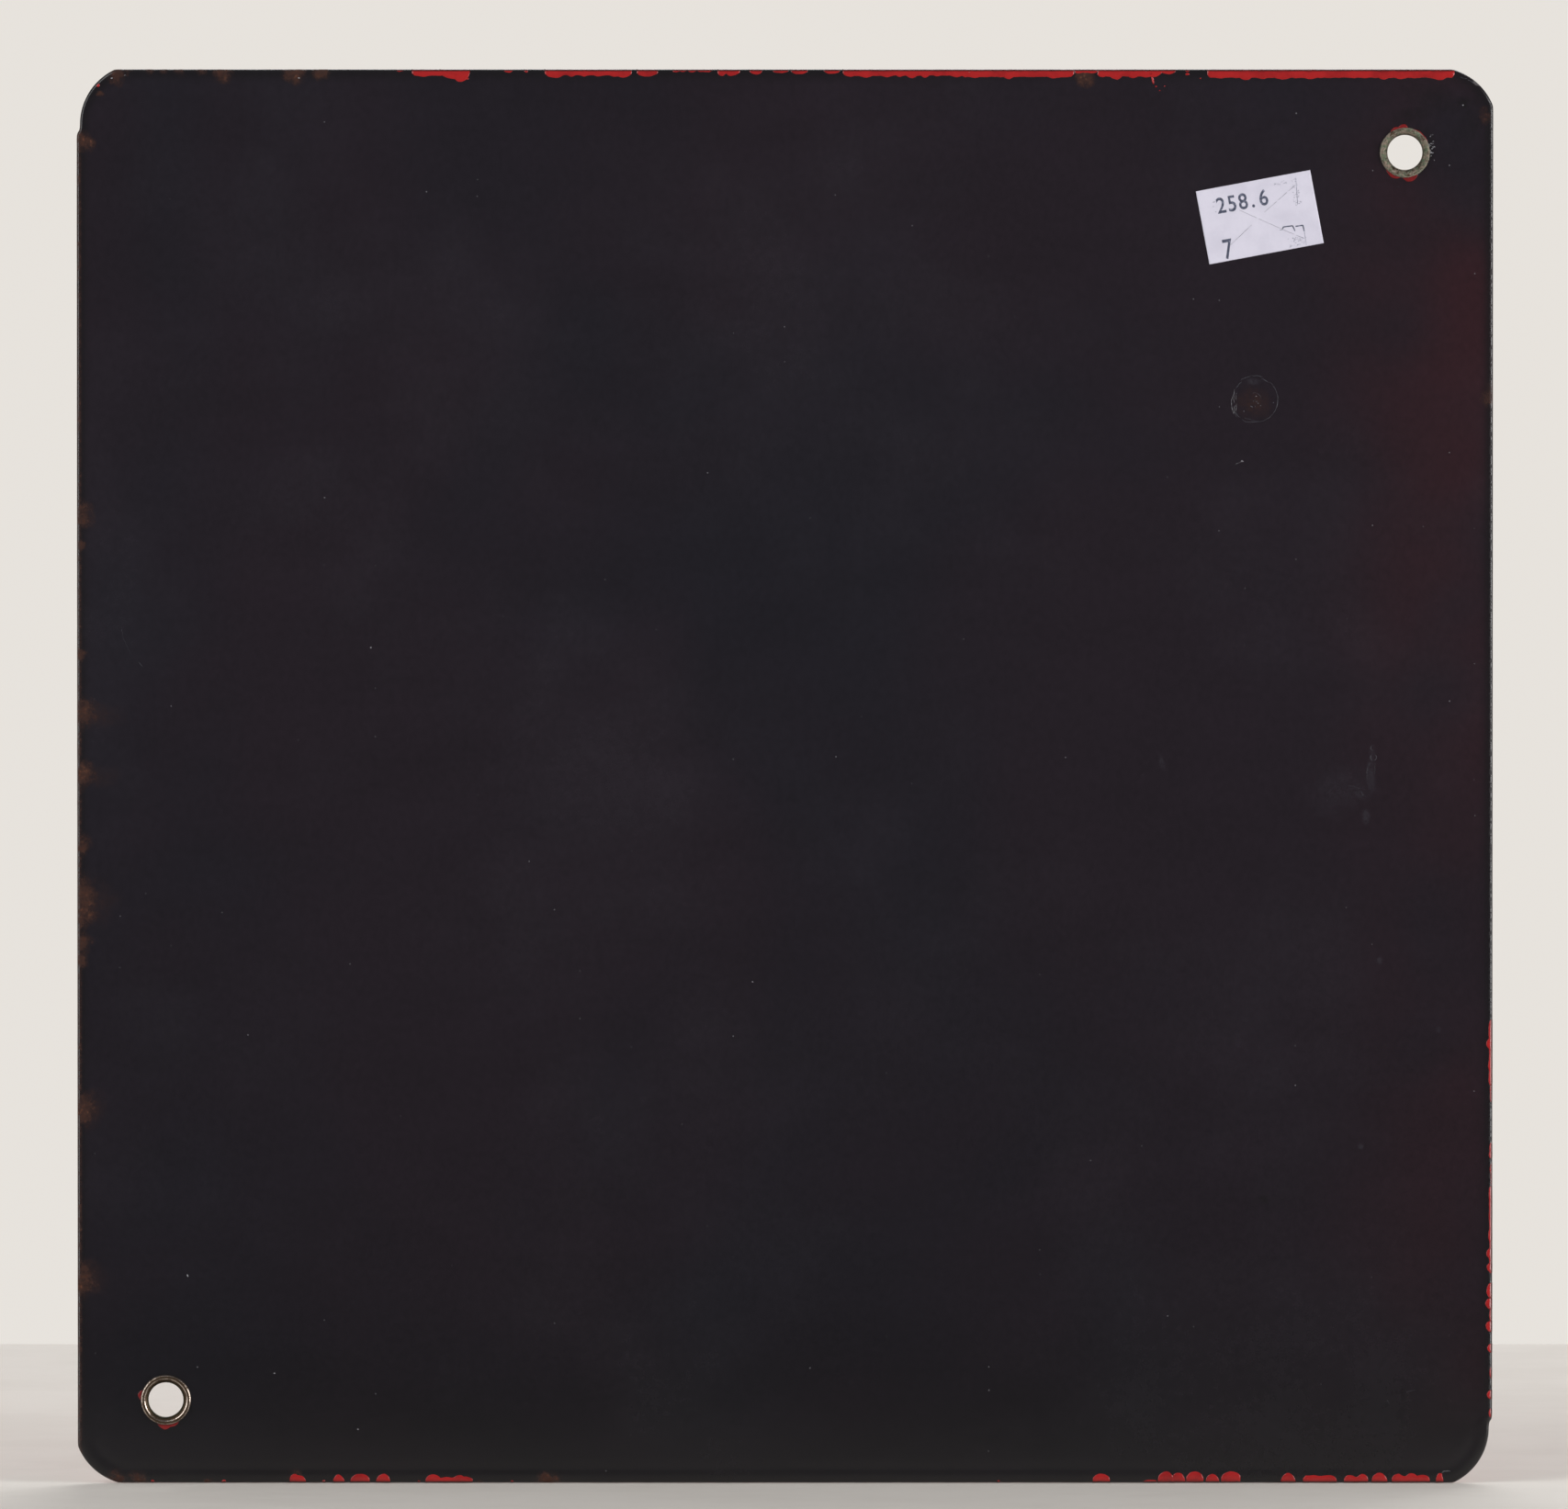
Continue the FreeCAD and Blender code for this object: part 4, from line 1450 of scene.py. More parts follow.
@dataclass
class Eyelet:
    """A brass eyelet: a barrel, a flat flange in front and a lip rolled over behind."""

    node: str
    patina: Patina
    seed: float
    bore: float = 3.75
    brass: float = 0.4
    crest: float = 4.85
    roll: float = 0.6
    face: float = 1.0
    flange: float = 6.2
    funnel: float = 0.6
    bevel: float = 0.2
    stations: int = 168
    relief_size: float = 0.8

    def section(self) -> list[Point]:
        """Gives the closed section as radius and depth.

        Returns:
            The section's points.
        """
        lip = self.crest + self.roll
        tangent = self.roll * math.sin(math.radians(45.0))
        rise = self.crest - tangent - self.bore
        top = self.face + self.brass
        barrel = self.bore + self.brass
        inner = self.bore + self.brass / math.sin(math.radians(45.0))
        roof = -self.face - self.roll + self.brass
        start = -self.face - tangent + rise
        edge = inner + start - roof
        seat = inner + self.funnel - self.brass
        points = [(self.bore, top - self.funnel), (self.bore, start + 0.12),
                  (self.bore + 0.03, start - 0.02), (self.bore + 0.12, start - 0.14)]
        points += arc(self.crest, -self.face, self.roll, 225.0, 360.0, 18)
        points += [(lip - self.brass, -self.face), (self.crest, roof), (edge, roof),
                   (barrel, roof + edge - barrel), (barrel, self.face - seat + barrel),
                   (seat, self.face), (self.flange, self.face), (self.flange, top - self.bevel),
                   (self.flange - 0.06, top - 0.06), (self.flange - self.bevel, top),
                   (self.bore + self.funnel + 0.1, top), (self.bore + self.funnel - 0.06, top - 0.09)]
        return divided(points, 0.11, closed=True)

    def build(self, sweep: bpy.types.NodeTree) -> bpy.types.Object:
        """Makes the eyelet in place of its solid.

        Args:
            sweep: The tree that carries a section along an outline.

        Returns:
            The eyelet.
        """
        low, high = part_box(self.node)
        middle = ((low[0] + high[0]) / 2, 0.0, (low[2] + high[2]) / 2)
        finish = Brass(self.patina, middle).build()
        turns = [math.tau * i / self.stations for i in range(self.stations)]
        made = new_mesh(self.node + "_brass", [middle] * self.stations)
        store(made, "way", "FLOAT_VECTOR", [(math.cos(t) * MM, 0.0, math.sin(t) * MM) for t in turns])
        store(made, "core", "FLOAT_VECTOR", [(0.0, 0.0, 0.0)] * self.stations)
        closed = self.section()[::-1]
        closed.append(closed[0])
        section = new_mesh("eyelet_section", [(radius, 0.0, depth * MM) for radius, depth in closed])
        store(section, "give", "FLOAT", [1.0 if depth < -0.6 else 0.3 for _, depth in closed])
        store(section, "edge", "FLOAT", [0.0] * len(closed))
        grow(made, sweep, {"Section": section, "Relief": self.patina.value[1] * MM,
                           "Relief Size": self.relief_size * MM, "Seed": self.seed, "Finish": finish})
        discard(section)
        edit(made, lambda work: None)
        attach(made, BODY)
        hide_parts(self.node)
        return made


# Paper label

class Tone(Enum):
    """What a shape on the label is drawn in: its material's number."""

    INK = 1
    FADED = 2
    CREASE = 3


@dataclass
class Label:
    """The paper label, with its creases drawn as small ridges with painted shade lines, its generic numbers
    and the remains of other print.

    Places on the label are from its middle. A stroke is two places. A dotted patch is its
    lower and upper limits, its left and right limits and its number of dots.
    """

    width: float = 25.0
    height: float = 16.0
    turn: float = 10.6
    across: float = 102.1
    up: float = 120.5
    sheet: float = 0.1
    face: float = 1.0
    ink_rise: float = 0.012
    creases: tuple[tuple[Point, Point], ...] = (
        ((-4.0, 2.3), (3.8, -3.1)), ((3.8, -3.1), (8.6, -6.3)),
        ((8.8, 5.4), (1.2, 0.9)), ((-2.0, -1.3), (-7.4, -4.8)))
    digits: str = "258.6"
    digit_ends: tuple[float, ...] = (-8.75, -6.35, -3.95, -1.3, 0.5)
    digit_foot: float = 2.4
    digit_height: float = 3.5
    digit_narrow: float = 0.86
    ink_width: float = 0.26
    hair_width: float = 0.10
    dot_width: float = 0.11
    crease_shade_width: float = 0.07
    capital: float = 0.73
    weight: float = 0.065
    bracket: tuple[Stroke, ...] = (
        (4.2, -3.6, 4.6, -3.0), (4.6, -3.0, 6.6, -3.1), (6.6, -3.1, 6.9, -4.3),
        (7.2, -3.35, 8.8, -3.4), (8.8, -3.4, 8.85, -4.7))
    hairlines: tuple[Stroke, ...] = (
        (3.7, -3.5, 4.3, -3.6), (8.85, -4.7, 8.75, -7.8), (9.1, 6.3, 8.5, 1.2))
    dotted: tuple[tuple[float, float, float, float, int], ...] = (
        (6.1, 6.8, 4.2, 9.4, 22), (1.2, 5.6, 7.7, 9.2, 34),
        (-7.6, -5.6, 5.0, 8.7, 46), (2.0, 5.4, -9.6, -9.0, 5))

    def crease_at(self, x: float, y: float) -> float:
        """Gives how deep in a crease a place of the label is, from 0 to 1.

        Args:
            x: The place along the label.
            y: The place up it.

        Returns:
            The depth.
        """
        here = Vector((x, y))
        deepest = 0.0
        for start, end in self.creases:
            first, run = Vector(start), Vector(end) - Vector(start)
            share = max(0.0, min(1.0, (here - first).dot(run) / run.length_squared))
            away = (here - first - run * share).length
            deepest = max(deepest, bell(away, 0.13) * (0.5 + 0.5 * math.sin(math.pi * share)))
        return deepest

    def lift(self, x: float, y: float) -> float:
        """Gives how far the label's outside stands off the enamel at a place, in millimetres.

        Args:
            x: The place along the label.
            y: The place up it.

        Returns:
            The distance.
        """
        corner = max(0.0, abs(x) / (self.width / 2) + abs(y) / (self.height / 2) - 1.55)
        ripple = 0.02 * math.sin(x * 0.5 + y * 0.3) * math.sin(y * 0.4)
        return self.sheet + max(0.0, ripple) + 0.5 * corner ** 2 + 0.05 * self.crease_at(x, y)

    def placed(self, x: float, y: float, rise: float) -> tuple[float, float, float]:
        """Gives the place in the frame of a place on the label."""
        turned = Matrix.Rotation(math.radians(self.turn), 2) @ Vector((x, y))
        return ((self.across + turned.x) * MM, -(self.face + rise) * MM, (self.up + turned.y) * MM)

    def add_ink(self, work: bmesh.types.BMesh, mesh: bpy.types.Mesh, tone: Tone) -> None:
        """Adds flat shapes in label millimetres to the paper, in a tone's material.

        Args:
            work: The label's mesh.
            mesh: The shapes.
            tone: What they are drawn in.
        """
        corners = [work.verts.new(self.placed(v.co.x, v.co.y, self.lift(v.co.x, v.co.y) + self.ink_rise))
                   for v in mesh.vertices]
        for face in mesh.polygons:
            made = work.faces.new([corners[i] for i in reversed(face.vertices)])
            made.material_index = tone.value

    def numeral(self, text: str, x: float, y: float, size: float, narrow: float) -> bpy.types.Mesh:
        """Makes numbers as a flat mesh in label millimetres.

        Args:
            text: The digits.
            x: Their left end.
            y: Their foot.
            size: The height of a digit.
            narrow: Their width as a share of the plain width.

        Returns:
            The mesh.
        """
        curve = bpy.data.curves.new("numerals", "FONT")
        curve.body = text
        curve.size = size / self.capital
        curve.offset = self.weight
        holder = bpy.data.objects.new("numerals", curve)
        bpy.context.scene.collection.objects.link(holder)
        graph = bpy.context.evaluated_depsgraph_get()
        mesh = bpy.data.meshes.new_from_object(holder.evaluated_get(graph))
        discard(holder)
        for vertex in mesh.vertices:
            vertex.co = (x + vertex.co.x * narrow, y + vertex.co.y, 0.0)
        return mesh

    def strokes(self, lines: Sequence[Stroke], width: float) -> bpy.types.Mesh:
        """Makes broken printed lines as a flat mesh in label millimetres.

        Args:
            lines: The strokes.
            width: How wide they are.

        Returns:
            The mesh.
        """
        points, faces = [], []
        for x0, y0, x1, y1 in lines:
            run = (Vector((x1, y1)) - Vector((x0, y0))).normalized() * width / 2
            start = len(points)
            points += [(x0 + run.y, y0 - run.x, 0.0), (x1 + run.y, y1 - run.x, 0.0),
                       (x1 - run.y, y1 + run.x, 0.0), (x0 - run.y, y0 + run.x, 0.0)]
            faces.append((start, start + 1, start + 2, start + 3))
        mesh = bpy.data.meshes.new("strokes")
        mesh.from_pydata(points, [], faces)
        return mesh

    def dots(self, chance: random.Random) -> list[Stroke]:
        """Scatters short strokes over the dotted patches.

        Args:
            chance: The source of random numbers.

        Returns:
            The strokes.
        """
        made = []
        for low, high, left, right, count in self.dotted:
            for _ in range(count):
                x, y = chance.uniform(left, right), chance.uniform(low, high)
                made.append((x, y, x + chance.uniform(0.08, 0.34), y + chance.uniform(-0.12, 0.12)))
        return made

    def crease_shade_strokes(self, chance: random.Random) -> list[Stroke]:
        """Breaks the creases into short strokes of painted shade, and leaves a few out.

        Args:
            chance: The source of random numbers.

        Returns:
            The strokes.
        """
        made = []
        for crease in self.creases:
            line = [(x + chance.uniform(-0.03, 0.03), y + chance.uniform(-0.03, 0.03))
                    for x, y in divided(crease, 0.5)]
            made += [(*a, *b) for a, b in zip(line, line[1:]) if chance.random() > 0.06]
        return made

    def sheet_mesh(self, work: bmesh.types.BMesh, columns: int = 100, rows: int = 64) -> None:
        """Adds the closed sheet of paper.

        Args:
            work: The label's mesh.
            columns: Its number of faces along.
            rows: Its number of faces up.
        """
        grids = []
        for inner in (False, True):
            grid = []
            for j in range(rows + 1):
                y = self.height * (j / rows - 0.5)
                line = []
                for i in range(columns + 1):
                    x = self.width * (i / columns - 0.5)
                    rise = self.lift(x, y) - (self.sheet if inner else 0.0)
                    line.append(work.verts.new(self.placed(x, y, rise)))
                grid.append(line)
            grids.append(grid)
            for j in range(rows):
                for i in range(columns):
                    work.faces.new((grid[j][i], grid[j][i + 1], grid[j + 1][i + 1], grid[j + 1][i]))
        outer, under = grids
        rims = []
        for grid in (outer, under):
            rims.append(grid[0] + [line[-1] for line in grid[1:]] + grid[-1][-2::-1]
                        + [line[0] for line in grid[-2:0:-1]])
        for i in range(len(rims[0])):
            j = (i + 1) % len(rims[0])
            work.faces.new((rims[0][i], rims[0][j], rims[1][j], rims[1][i]))
        bmesh.ops.recalc_face_normals(work, faces=work.faces)

    def build(self, finishes: Sequence[bpy.types.Material]) -> bpy.types.Object:
        """Makes the label in place of its solid.

        Args:
            finishes: The materials of the paper, the ink, the faded ink and the painted shade of the creases.

        Returns:
            The label.
        """
        work = bmesh.new()
        self.sheet_mesh(work)
        for face in work.faces:
            face.smooth = True
        chance = random.Random(4)
        for digit, left in zip(self.digits, self.digit_ends):
            self.add_ink(work, self.numeral(digit, left, self.digit_foot, self.digit_height,
                                            self.digit_narrow), Tone.INK)
        self.add_ink(work, self.numeral("7", -9.1, -7.5, 4.4, 0.72), Tone.INK)
        self.add_ink(work, self.strokes(self.bracket, self.ink_width), Tone.INK)
        self.add_ink(work, self.strokes(self.hairlines, self.hair_width), Tone.FADED)
        self.add_ink(work, self.strokes(self.dots(chance), self.dot_width), Tone.FADED)
        self.add_ink(work, self.strokes(self.crease_shade_strokes(chance), self.crease_shade_width), Tone.CREASE)
        made = new_mesh("number_label", [])
        work.to_mesh(made.data)
        work.free()
        for finish in finishes:
            made.data.materials.append(finish)
        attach(made, BODY)
        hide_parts("paper_label")
        return made


# Studio

@dataclass
class Lamp:
    """A soft area lamp that points at the plate."""

    name: str
    place: tuple[float, float, float]
    width: float
    height: float
    power: float
    colour: Colour = (1.0, 1.0, 1.0)

    def build(self) -> None:
        """Hangs the lamp."""
        data = bpy.data.lights.new(self.name, "AREA")
        data.shape = "RECTANGLE"
        data.size = self.width
        data.size_y = self.height
        data.energy = self.power
        data.color = self.colour
        made = bpy.data.objects.new(self.name, data)
        made.location = self.place
        made.rotation_mode = "QUATERNION"
        made.rotation_quaternion = (-Vector(self.place)).to_track_quat("-Z", "Y")
        bpy.context.scene.collection.objects.link(made)


@dataclass
class Studio:
    """The floor, the lamps, the surroundings and the camera."""

    photo_width: int = 1707
    photo_height: int = 1643
    scale: float = 5.059
    plate_column: float = 854.5
    plate_row: float = 845.5
    distance: float = 9.0
    elevation: float = 3.0
    sensor: float = 36.0
    floor_front: float = 0.112
    floor_back: float = 0.45
    floor_side: float = 1.2
    pale: Colour = (0.80, 0.765, 0.72)
    room: Colour = (0.17, 0.17, 0.18)
    far_side: Colour = (0.26, 0.25, 0.24)
    floor_depth: float = 0.03
    ambient: Colour = (0.42, 0.42, 0.43)

    def floor(self, finish: bpy.types.Material) -> None:
        """Lays the floor under the plate.

        Args:
            finish: The floor's material.
        """
        level = cad_box[0][2]
        corners = [(x, y, z) for z in (level, level - self.floor_depth)
                   for y in (-self.floor_front, self.floor_back) for x in (-self.floor_side, self.floor_side)]
        faces = [(0, 1, 3, 2), (4, 6, 7, 5), (0, 4, 5, 1), (2, 3, 7, 6), (0, 2, 6, 4), (1, 5, 7, 3)]
        made = new_mesh("floor", corners, (), faces)
        made.data.materials.append(finish)

    def camera(self) -> None:
        """Sets up the camera as the photo was taken: square on, and a little from above."""
        data = bpy.data.cameras.new("camera")
        made = bpy.data.objects.new("camera", data)
        bpy.context.scene.collection.objects.link(made)
        view = self.photo_width / self.scale * MM
        data.sensor_width = self.sensor
        data.lens = self.sensor * self.distance / view
        data.clip_start = 0.1
        data.clip_end = 100.0
        aim = Vector(((self.photo_width / 2 - self.plate_column) / self.scale * MM, 0.0,
                      (self.plate_row - self.photo_height / 2) / self.scale * MM))
        rise = math.radians(self.elevation)
        back = Vector((0.0, -math.cos(rise), math.sin(rise)))
        made.location = aim + back * self.distance
        made.rotation_mode = "QUATERNION"
        made.rotation_quaternion = (-back).to_track_quat("-Z", "Y")
        bpy.context.scene.camera = made

    def surroundings(self) -> None:
        """Makes a pale setting behind the plate and a dim room behind the camera."""
        world = bpy.data.worlds.new("studio")
        world.use_nodes = True
        world.node_tree.nodes.clear()
        graph = Graph(world.node_tree)
        rays = graph.add("ShaderNodeLightPath").outputs
        way = graph.parts(graph.add("ShaderNodeTexCoord").outputs["Generated"])[1]
        mirrored = graph.mix(graph.step(way, -0.35, 0.45), self.room, self.far_side)
        seen = graph.math("ADD", rays["Is Camera Ray"], rays["Is Transmission Ray"], clamp=True)
        colour = graph.mix(rays["Is Glossy Ray"], self.ambient, mirrored)
        colour = graph.mix(seen, colour, self.pale)
        background = graph.add("ShaderNodeBackground", {"Color": colour, "Strength": 1.0})
        graph.add("ShaderNodeOutputWorld", {"Surface": background.outputs[0]})
        bpy.context.scene.world = world

    def lamps(self) -> None:
        """Hangs the lamps."""
        Lamp("upper_left", (-1.5, -1.5, 1.7), 1.3, 1.3, 20.0).build()
        Lamp("left_side", (-1.5, -0.8, 0.1), 0.7, 1.4, 12.0).build()
        Lamp("right_side", (1.5, -0.7, 0.1), 0.7, 1.4, 28.0).build()
        Lamp("front_side", (0.4, 1.8, 1.6), 1.4, 1.4, 26.0).build()

    def build(self) -> None:
        """Makes the whole setting."""
        self.floor(Speckled("floor", (0.68, 0.64, 0.59), (0.65, 0.61, 0.56), 60.0, roughness=0.8).build())
        self.camera()
        self.surroundings()
        self.lamps()
        bpy.context.scene.view_settings.view_transform = "Standard"


# What the back shows

TOP_RUNS = tuple(Run(Edge.TOP, *run) for run in (
    (-83.9, -81.7, 0.55), (-80.4, -69.5, 1.6, 4.0, 0.85), (-74.5, -67.8, 2.1, 12.0),
    (-71.6, -67.7, 2.75, 12.0), (-60.6, -58.4, 0.7), (-56.2, -55.2, 0.7),
    (-51.9, -32.7, 1.75, 3.5, 0.75), (-32.1, -27.0, 1.55, 4.0, 0.6), (-24.4, -15.0, 0.65, 2.5),
    (-14.7, -9.4, 1.45, 3.0), (-7.8, -4.8, 1.05), (-2.9, 1.1, 0.8), (1.1, 5.0, 1.1), (8.2, 12.0, 1),
    (12.2, 40.0, 1.7, 3.2, 0.8), (38.5, 62.4, 2.05, 4.2, 0.8), (62.0, 67.4, 0.9, 2.0, 0.8),
    (66.9, 79.8, 2.1, 3.8, 0.75), (77.4, 81.2, 1.7, 3.0), (80.4, 84.3, 1, 3.0), (86.0, 87.0, 0.55),
    (90.5, 144.2, 2.15, 4.6, 0.85),
))
BOTTOM_RUNS = tuple(Run(Edge.BOTTOM, *run) for run in (
    (-136.6, -135.6, 0.6), (-121.4, -120.3, 0.7), (-106.8, -103.1, 1.8, 1.8), (-99.8, -98.9, 0.7),
    (-97.3, -94.8, 1.8), (-93.8, -89.2, 1.95, 3.0, 0.6), (-88.1, -84.9, 2.05), (-79.3, -78.4, 0.6),
    (-77.6, -67.0, 1.65, 4.0, 0.7), (-59.2, -58.3, 0.6), (45.6, 46.4, 0.6), (66.0, 70.3, 2.05),
    (77.0, 80.4, 0.65), (80.0, 84.0, 2.5), (83.1, 86.3, 2.2), (86.2, 90.4, 2.5), (90.6, 93.5, 1.9),
    (93.7, 98.4, 2.55), (106.8, 110.0, 2.1), (111.3, 119.1, 2.05, 3.6, 0.75),
    (120.1, 125.8, 2, 3.0, 0.7), (126.2, 129.8, 2.2), (130.4, 139.2, 2, 3.4, 0.75),
    (140.1, 141.9, 2.1),
))
RIGHT_RUNS = tuple(Run(Edge.RIGHT, *run) for run in (
    (-66.8, -52.1, 0.85, 3.0, 0.8), (-59.0, -56.2, 1.35), (-70.4, -66.2, 0.6, 2.4, 0.7),
    (-82.4, -78.6, 0.75, 2.2, 0.7), (-88.6, -82.8, 0.55, 2.4, 0.7), (-107.4, -88.0, 0.85, 4.0, 0.8),
    (-103.9, -101.5, 1.35), (-106.9, -104.7, 1.2), (-112.5, -109.0, 1.3), (-115.0, -112.4, 1.55),
    (-117.8, -114.4, 0.65), (-119.8, -117.2, 1.45), (-124.3, -122.1, 1.15), (-130.0, -127.0, 0.6),
    (-134.4, -132.2, 1.2), (-138.4, -136.2, 0.75),
))
POOLS = (
    (1, 80.0, 108.0, 6.2), (1, 98.0, 126.0, 5.85), (1, 16.0, 80.0, 5.58), (1, 217.0, 265.0, 6.05),
    (1, 262.0, 303.0, 6.4), (-1, 155.0, 183.0, 6.1), (-1, 248.0, 288.0, 6.35), (-1, 262.0, 304.0, 5.95),
)
RED_SPOTS = tuple(Fleck(*spot) for spot in (
    (-147.7, 148.9, 0.65, 0.8, -20.0), (79.0, 150.0, 0.5, 2.0, 14.0), (79.8, 148.6, 0.4, 0.35),
    (81.6, 148.7, 0.3, 0.3), (80.6, 147.8, 0.3, 0.25), (89.3, 150.4, 0.35, 0.3),
    (86.5, 151.3, 0.9, 0.5), (141.2, -150.8, 0.6, 1.2, -35.0), (-68.3, 150.3, 0.6, 0.5),
))
RUST = tuple(RustSpot(*spot) for spot in (
    (-143.9, 150.7, 2.2, 0.9), (-141.2, 151.7, 1.8, 0.8), (-147.3, 146.8, 1.0),
    (-137.0, 152.2, 1.8, 0.9), (-133.4, 152.3, 1.6, 0.8), (-129.8, 152.3, 1.7, 0.8),
    (-126.0, 152.3, 1.7, 0.9), (-151.0, 136.7, 2.9), (-151.9, 56.6, 3.4), (-152.0, 50.9, 1.8),
    (-152.0, 25.8, 2.2), (-151.7, 13.3, 4.6), (-151.4, 0.2, 3.8), (-152.0, -14.7, 3.4),
    (-151.4, -25.2, 5.0), (-151.6, -29.0, 4.4), (-152.0, -35.5, 3.4), (-152.2, -39.4, 2.8),
    (-151.6, -71.7, 4.8), (-151.8, -108.3, 5.0), (-120.9, 151.4, 3.0), (-105.2, 151.6, 3.2),
    (-100.0, 152.2, 2.2), (64.4, 151.2, 3.0), (150.6, 142.4, 2.0, 0.6), (151.8, 82.0, 3.0, 0.8),
    (-144.0, -152.0, 3.0), (-139.4, -152.0, 2.4), (-105.0, -151.4, 2.6), (-50.9, -152.1, 2.8),
    (-124.0, -152.3, 1.5), (-66.0, -152.3, 1.3),
))
BROWNED = tuple(Smudge(*mark) for mark in (
    (100.7, 80.6, 4.6, 4.4, 0.0, 0.8), (-148.0, 13.0, 7.0, 3.4, 0.0, 0.45),
    (-147.8, 0.0, 6.0, 2.8, 0.0, 0.35), (-148.2, -27.0, 6.0, 7.0, 0.0, 0.4),
    (-149.5, -71.7, 5.0, 5.0, 0.0, 0.35), (-149.5, -108.3, 5.0, 5.0, 0.0, 0.35),
))
SMUDGES = tuple(Smudge(*mark) for mark in (
    (125.0, -8.5, 1.2, 1.9, 0.0, 0.8), (119.5, -2.9, 10.0, 6.5, 20.0, 0.26),
    (123.5, -3.6, 1.0, 3.0, 50.0, 0.3), (126.4, 5.2, 1.0, 2.2, 0.0, 0.35),
    (126.1, 0.4, 1.4, 4.2, 0.0, 0.45), (100.9, 85.2, 2.4, 1.0, 0.0, 0.7),
    (128.0, -39.6, 0.9, 1.1, 0.0, 0.6), (124.0, -79.7, 0.8, 0.9, 0.0, 0.8),
    (81.1, 3.1, 0.8, 2.2, 12.0, 0.5), (140.6, -54.5, 0.8, 1.0, 0.0, 0.4),
    (-106.6, 62.0, 17.0, 12.0, 20.0, 0.11), (-4.0, -99.0, 26.0, 15.0, 0.0, 0.09),
))
# The first two rings are painted contact shadows round the eyelets; the rest are dark stains.
STAINS_AND_SHADOWS = tuple(Smudge(*mark) for mark in (
    (133.3, 134.4, 7.6, 7.6, 0.0, 0.8), (-133.3, -134.4, 7.6, 7.6, 0.0, 0.8),
    (139.5, 146.0, 9.0, 4.0, -20.0, 0.45), (147.5, 141.0, 3.5, 7.0, -25.0, 0.45),
    (103.1, -91.0, 1.5, 1.2, 0.0, 0.9), (138.0, 134.6, 2.2, 5.0, 0.0, 0.8),
    (146.0, 145.0, 2.2, 1.7, 40.0, 0.8), (134.5, 142.4, 5.0, 2.2, 8.0, 0.6),
))


GLUE_CENTRE = (101.0, 81.3)
GLUE_RADIUS = 5.0


def glue_ring() -> tuple[Streak, ...]:
    """Gives the thin ring of glue that a round sticker left.

    Returns:
        The ring's streaks.
    """
    sweeps = ((0.0, -80.0, -38.0, 0.10), (0.02, -42.0, 26.0, 0.11), (-0.06, 22.0, 50.0, 0.10),
              (-0.28, 48.0, 72.0, 0.12), (0.08, 68.0, 100.0, 0.12), (0.05, 98.0, 128.0, 0.13),
              (-0.35, 126.0, 152.0, 0.10), (0.0, 206.0, 232.0, 0.09), (0.1, 236.0, 262.0, 0.12),
              (-0.12, 258.0, 284.0, 0.12), (-0.5, 240.0, 272.0, 0.08), (-3.6, 10.0, 120.0, 0.06))
    return tuple(Streak(tuple(arc(*GLUE_CENTRE, GLUE_RADIUS + change, first, last, 12)), width)
                 for change, first, last, width in sweeps)


def scrapes() -> tuple[Streak, ...]:
    """Gives the pale scrapes on the left of the ring of glue.

    Returns:
        The scrapes.
    """
    across, up = GLUE_CENTRE
    lines = ((-4.95, 1.4, -3.3, 0.50, 0.07), (-4.5, 2.2, -1.0, 0.30, 0.06), (-4.45, -1.2, -3.5, 0.3, 0.07),
             (-4.0, 1.6, -0.2, 0.20, 0.05), (-4.0, -0.8, -3.9, 0.15, 0.06))
    shares = [k / 4 - 1.0 for k in range(9)]
    return tuple(Streak(tuple((across + offset + bow * share * share,
                               up + (top + foot) / 2 + (top - foot) / 2 * share)
                              for share in shares), width)
                 for offset, top, foot, bow, width in lines)


def crumbs(across: float, up: float, wide: float, tall: float, count: int,
           seed: int) -> tuple[Fleck, ...]:
    """Gives tiny crumbs scattered over a patch.

    Args:
        across: The patch's middle, along X.
        up: Its middle, along Z.
        wide: Its width.
        tall: Its height.
        count: How many crumbs there are.
        seed: The number that fixes their places.

    Returns:
        The crumbs.
    """
    chance = random.Random(seed)
    return tuple(Fleck(chance.gauss(across, wide / 2), chance.gauss(up, tall / 2), chance.uniform(0.16, 0.38),
                       chance.uniform(0.14, 0.30), chance.uniform(0.0, 180.0)) for _ in range(count))


THIN_STREAKS = (
    Streak(tuple(arc(126.5, 6.2, 0.55, 60.0, 290.0, 10)), 0.10),
    Streak(tuple(arc(126.6, 4.2, 0.65, 100.0, 440.0, 14)), 0.14),
    Streak(((125.9, 3.4), (125.3, 1.5), (125.2, -0.8)), 0.05), Streak(((127.0, 3.2), (126.9, 0.4)), 0.04),
    Streak(((121.1, -1.9), (122.4, -2.0), (123.6, -2.6)), 0.05),
    Streak(((123.9, -3.0), (124.6, -4.2)), 0.07),
    Streak(((-142.9, 32.7), (-142.3, 29.6), (-140.6, 26.2)), 0.04),
    Streak(((-139.4, 25.0), (-138.0, 23.6)), 0.06),
    Streak(((145.0, 150.7), (146.6, 150.2), (148.3, 149.2)), 0.10),
    Streak(((133.8, -132.7), (136.0, -132.2)), 0.06), Streak(((129.6, -134.3), (130.2, -135.3)), 0.07),
)
PALE_STREAKS = (
    Streak(((98.2, 67.8), (97.5, 67.6), (96.8, 67.2)), 0.10),
    Streak(((141.3, -150.3), (141.9, -149.8), (142.8, -149.7), (143.4, -149.9)), 0.10),
)
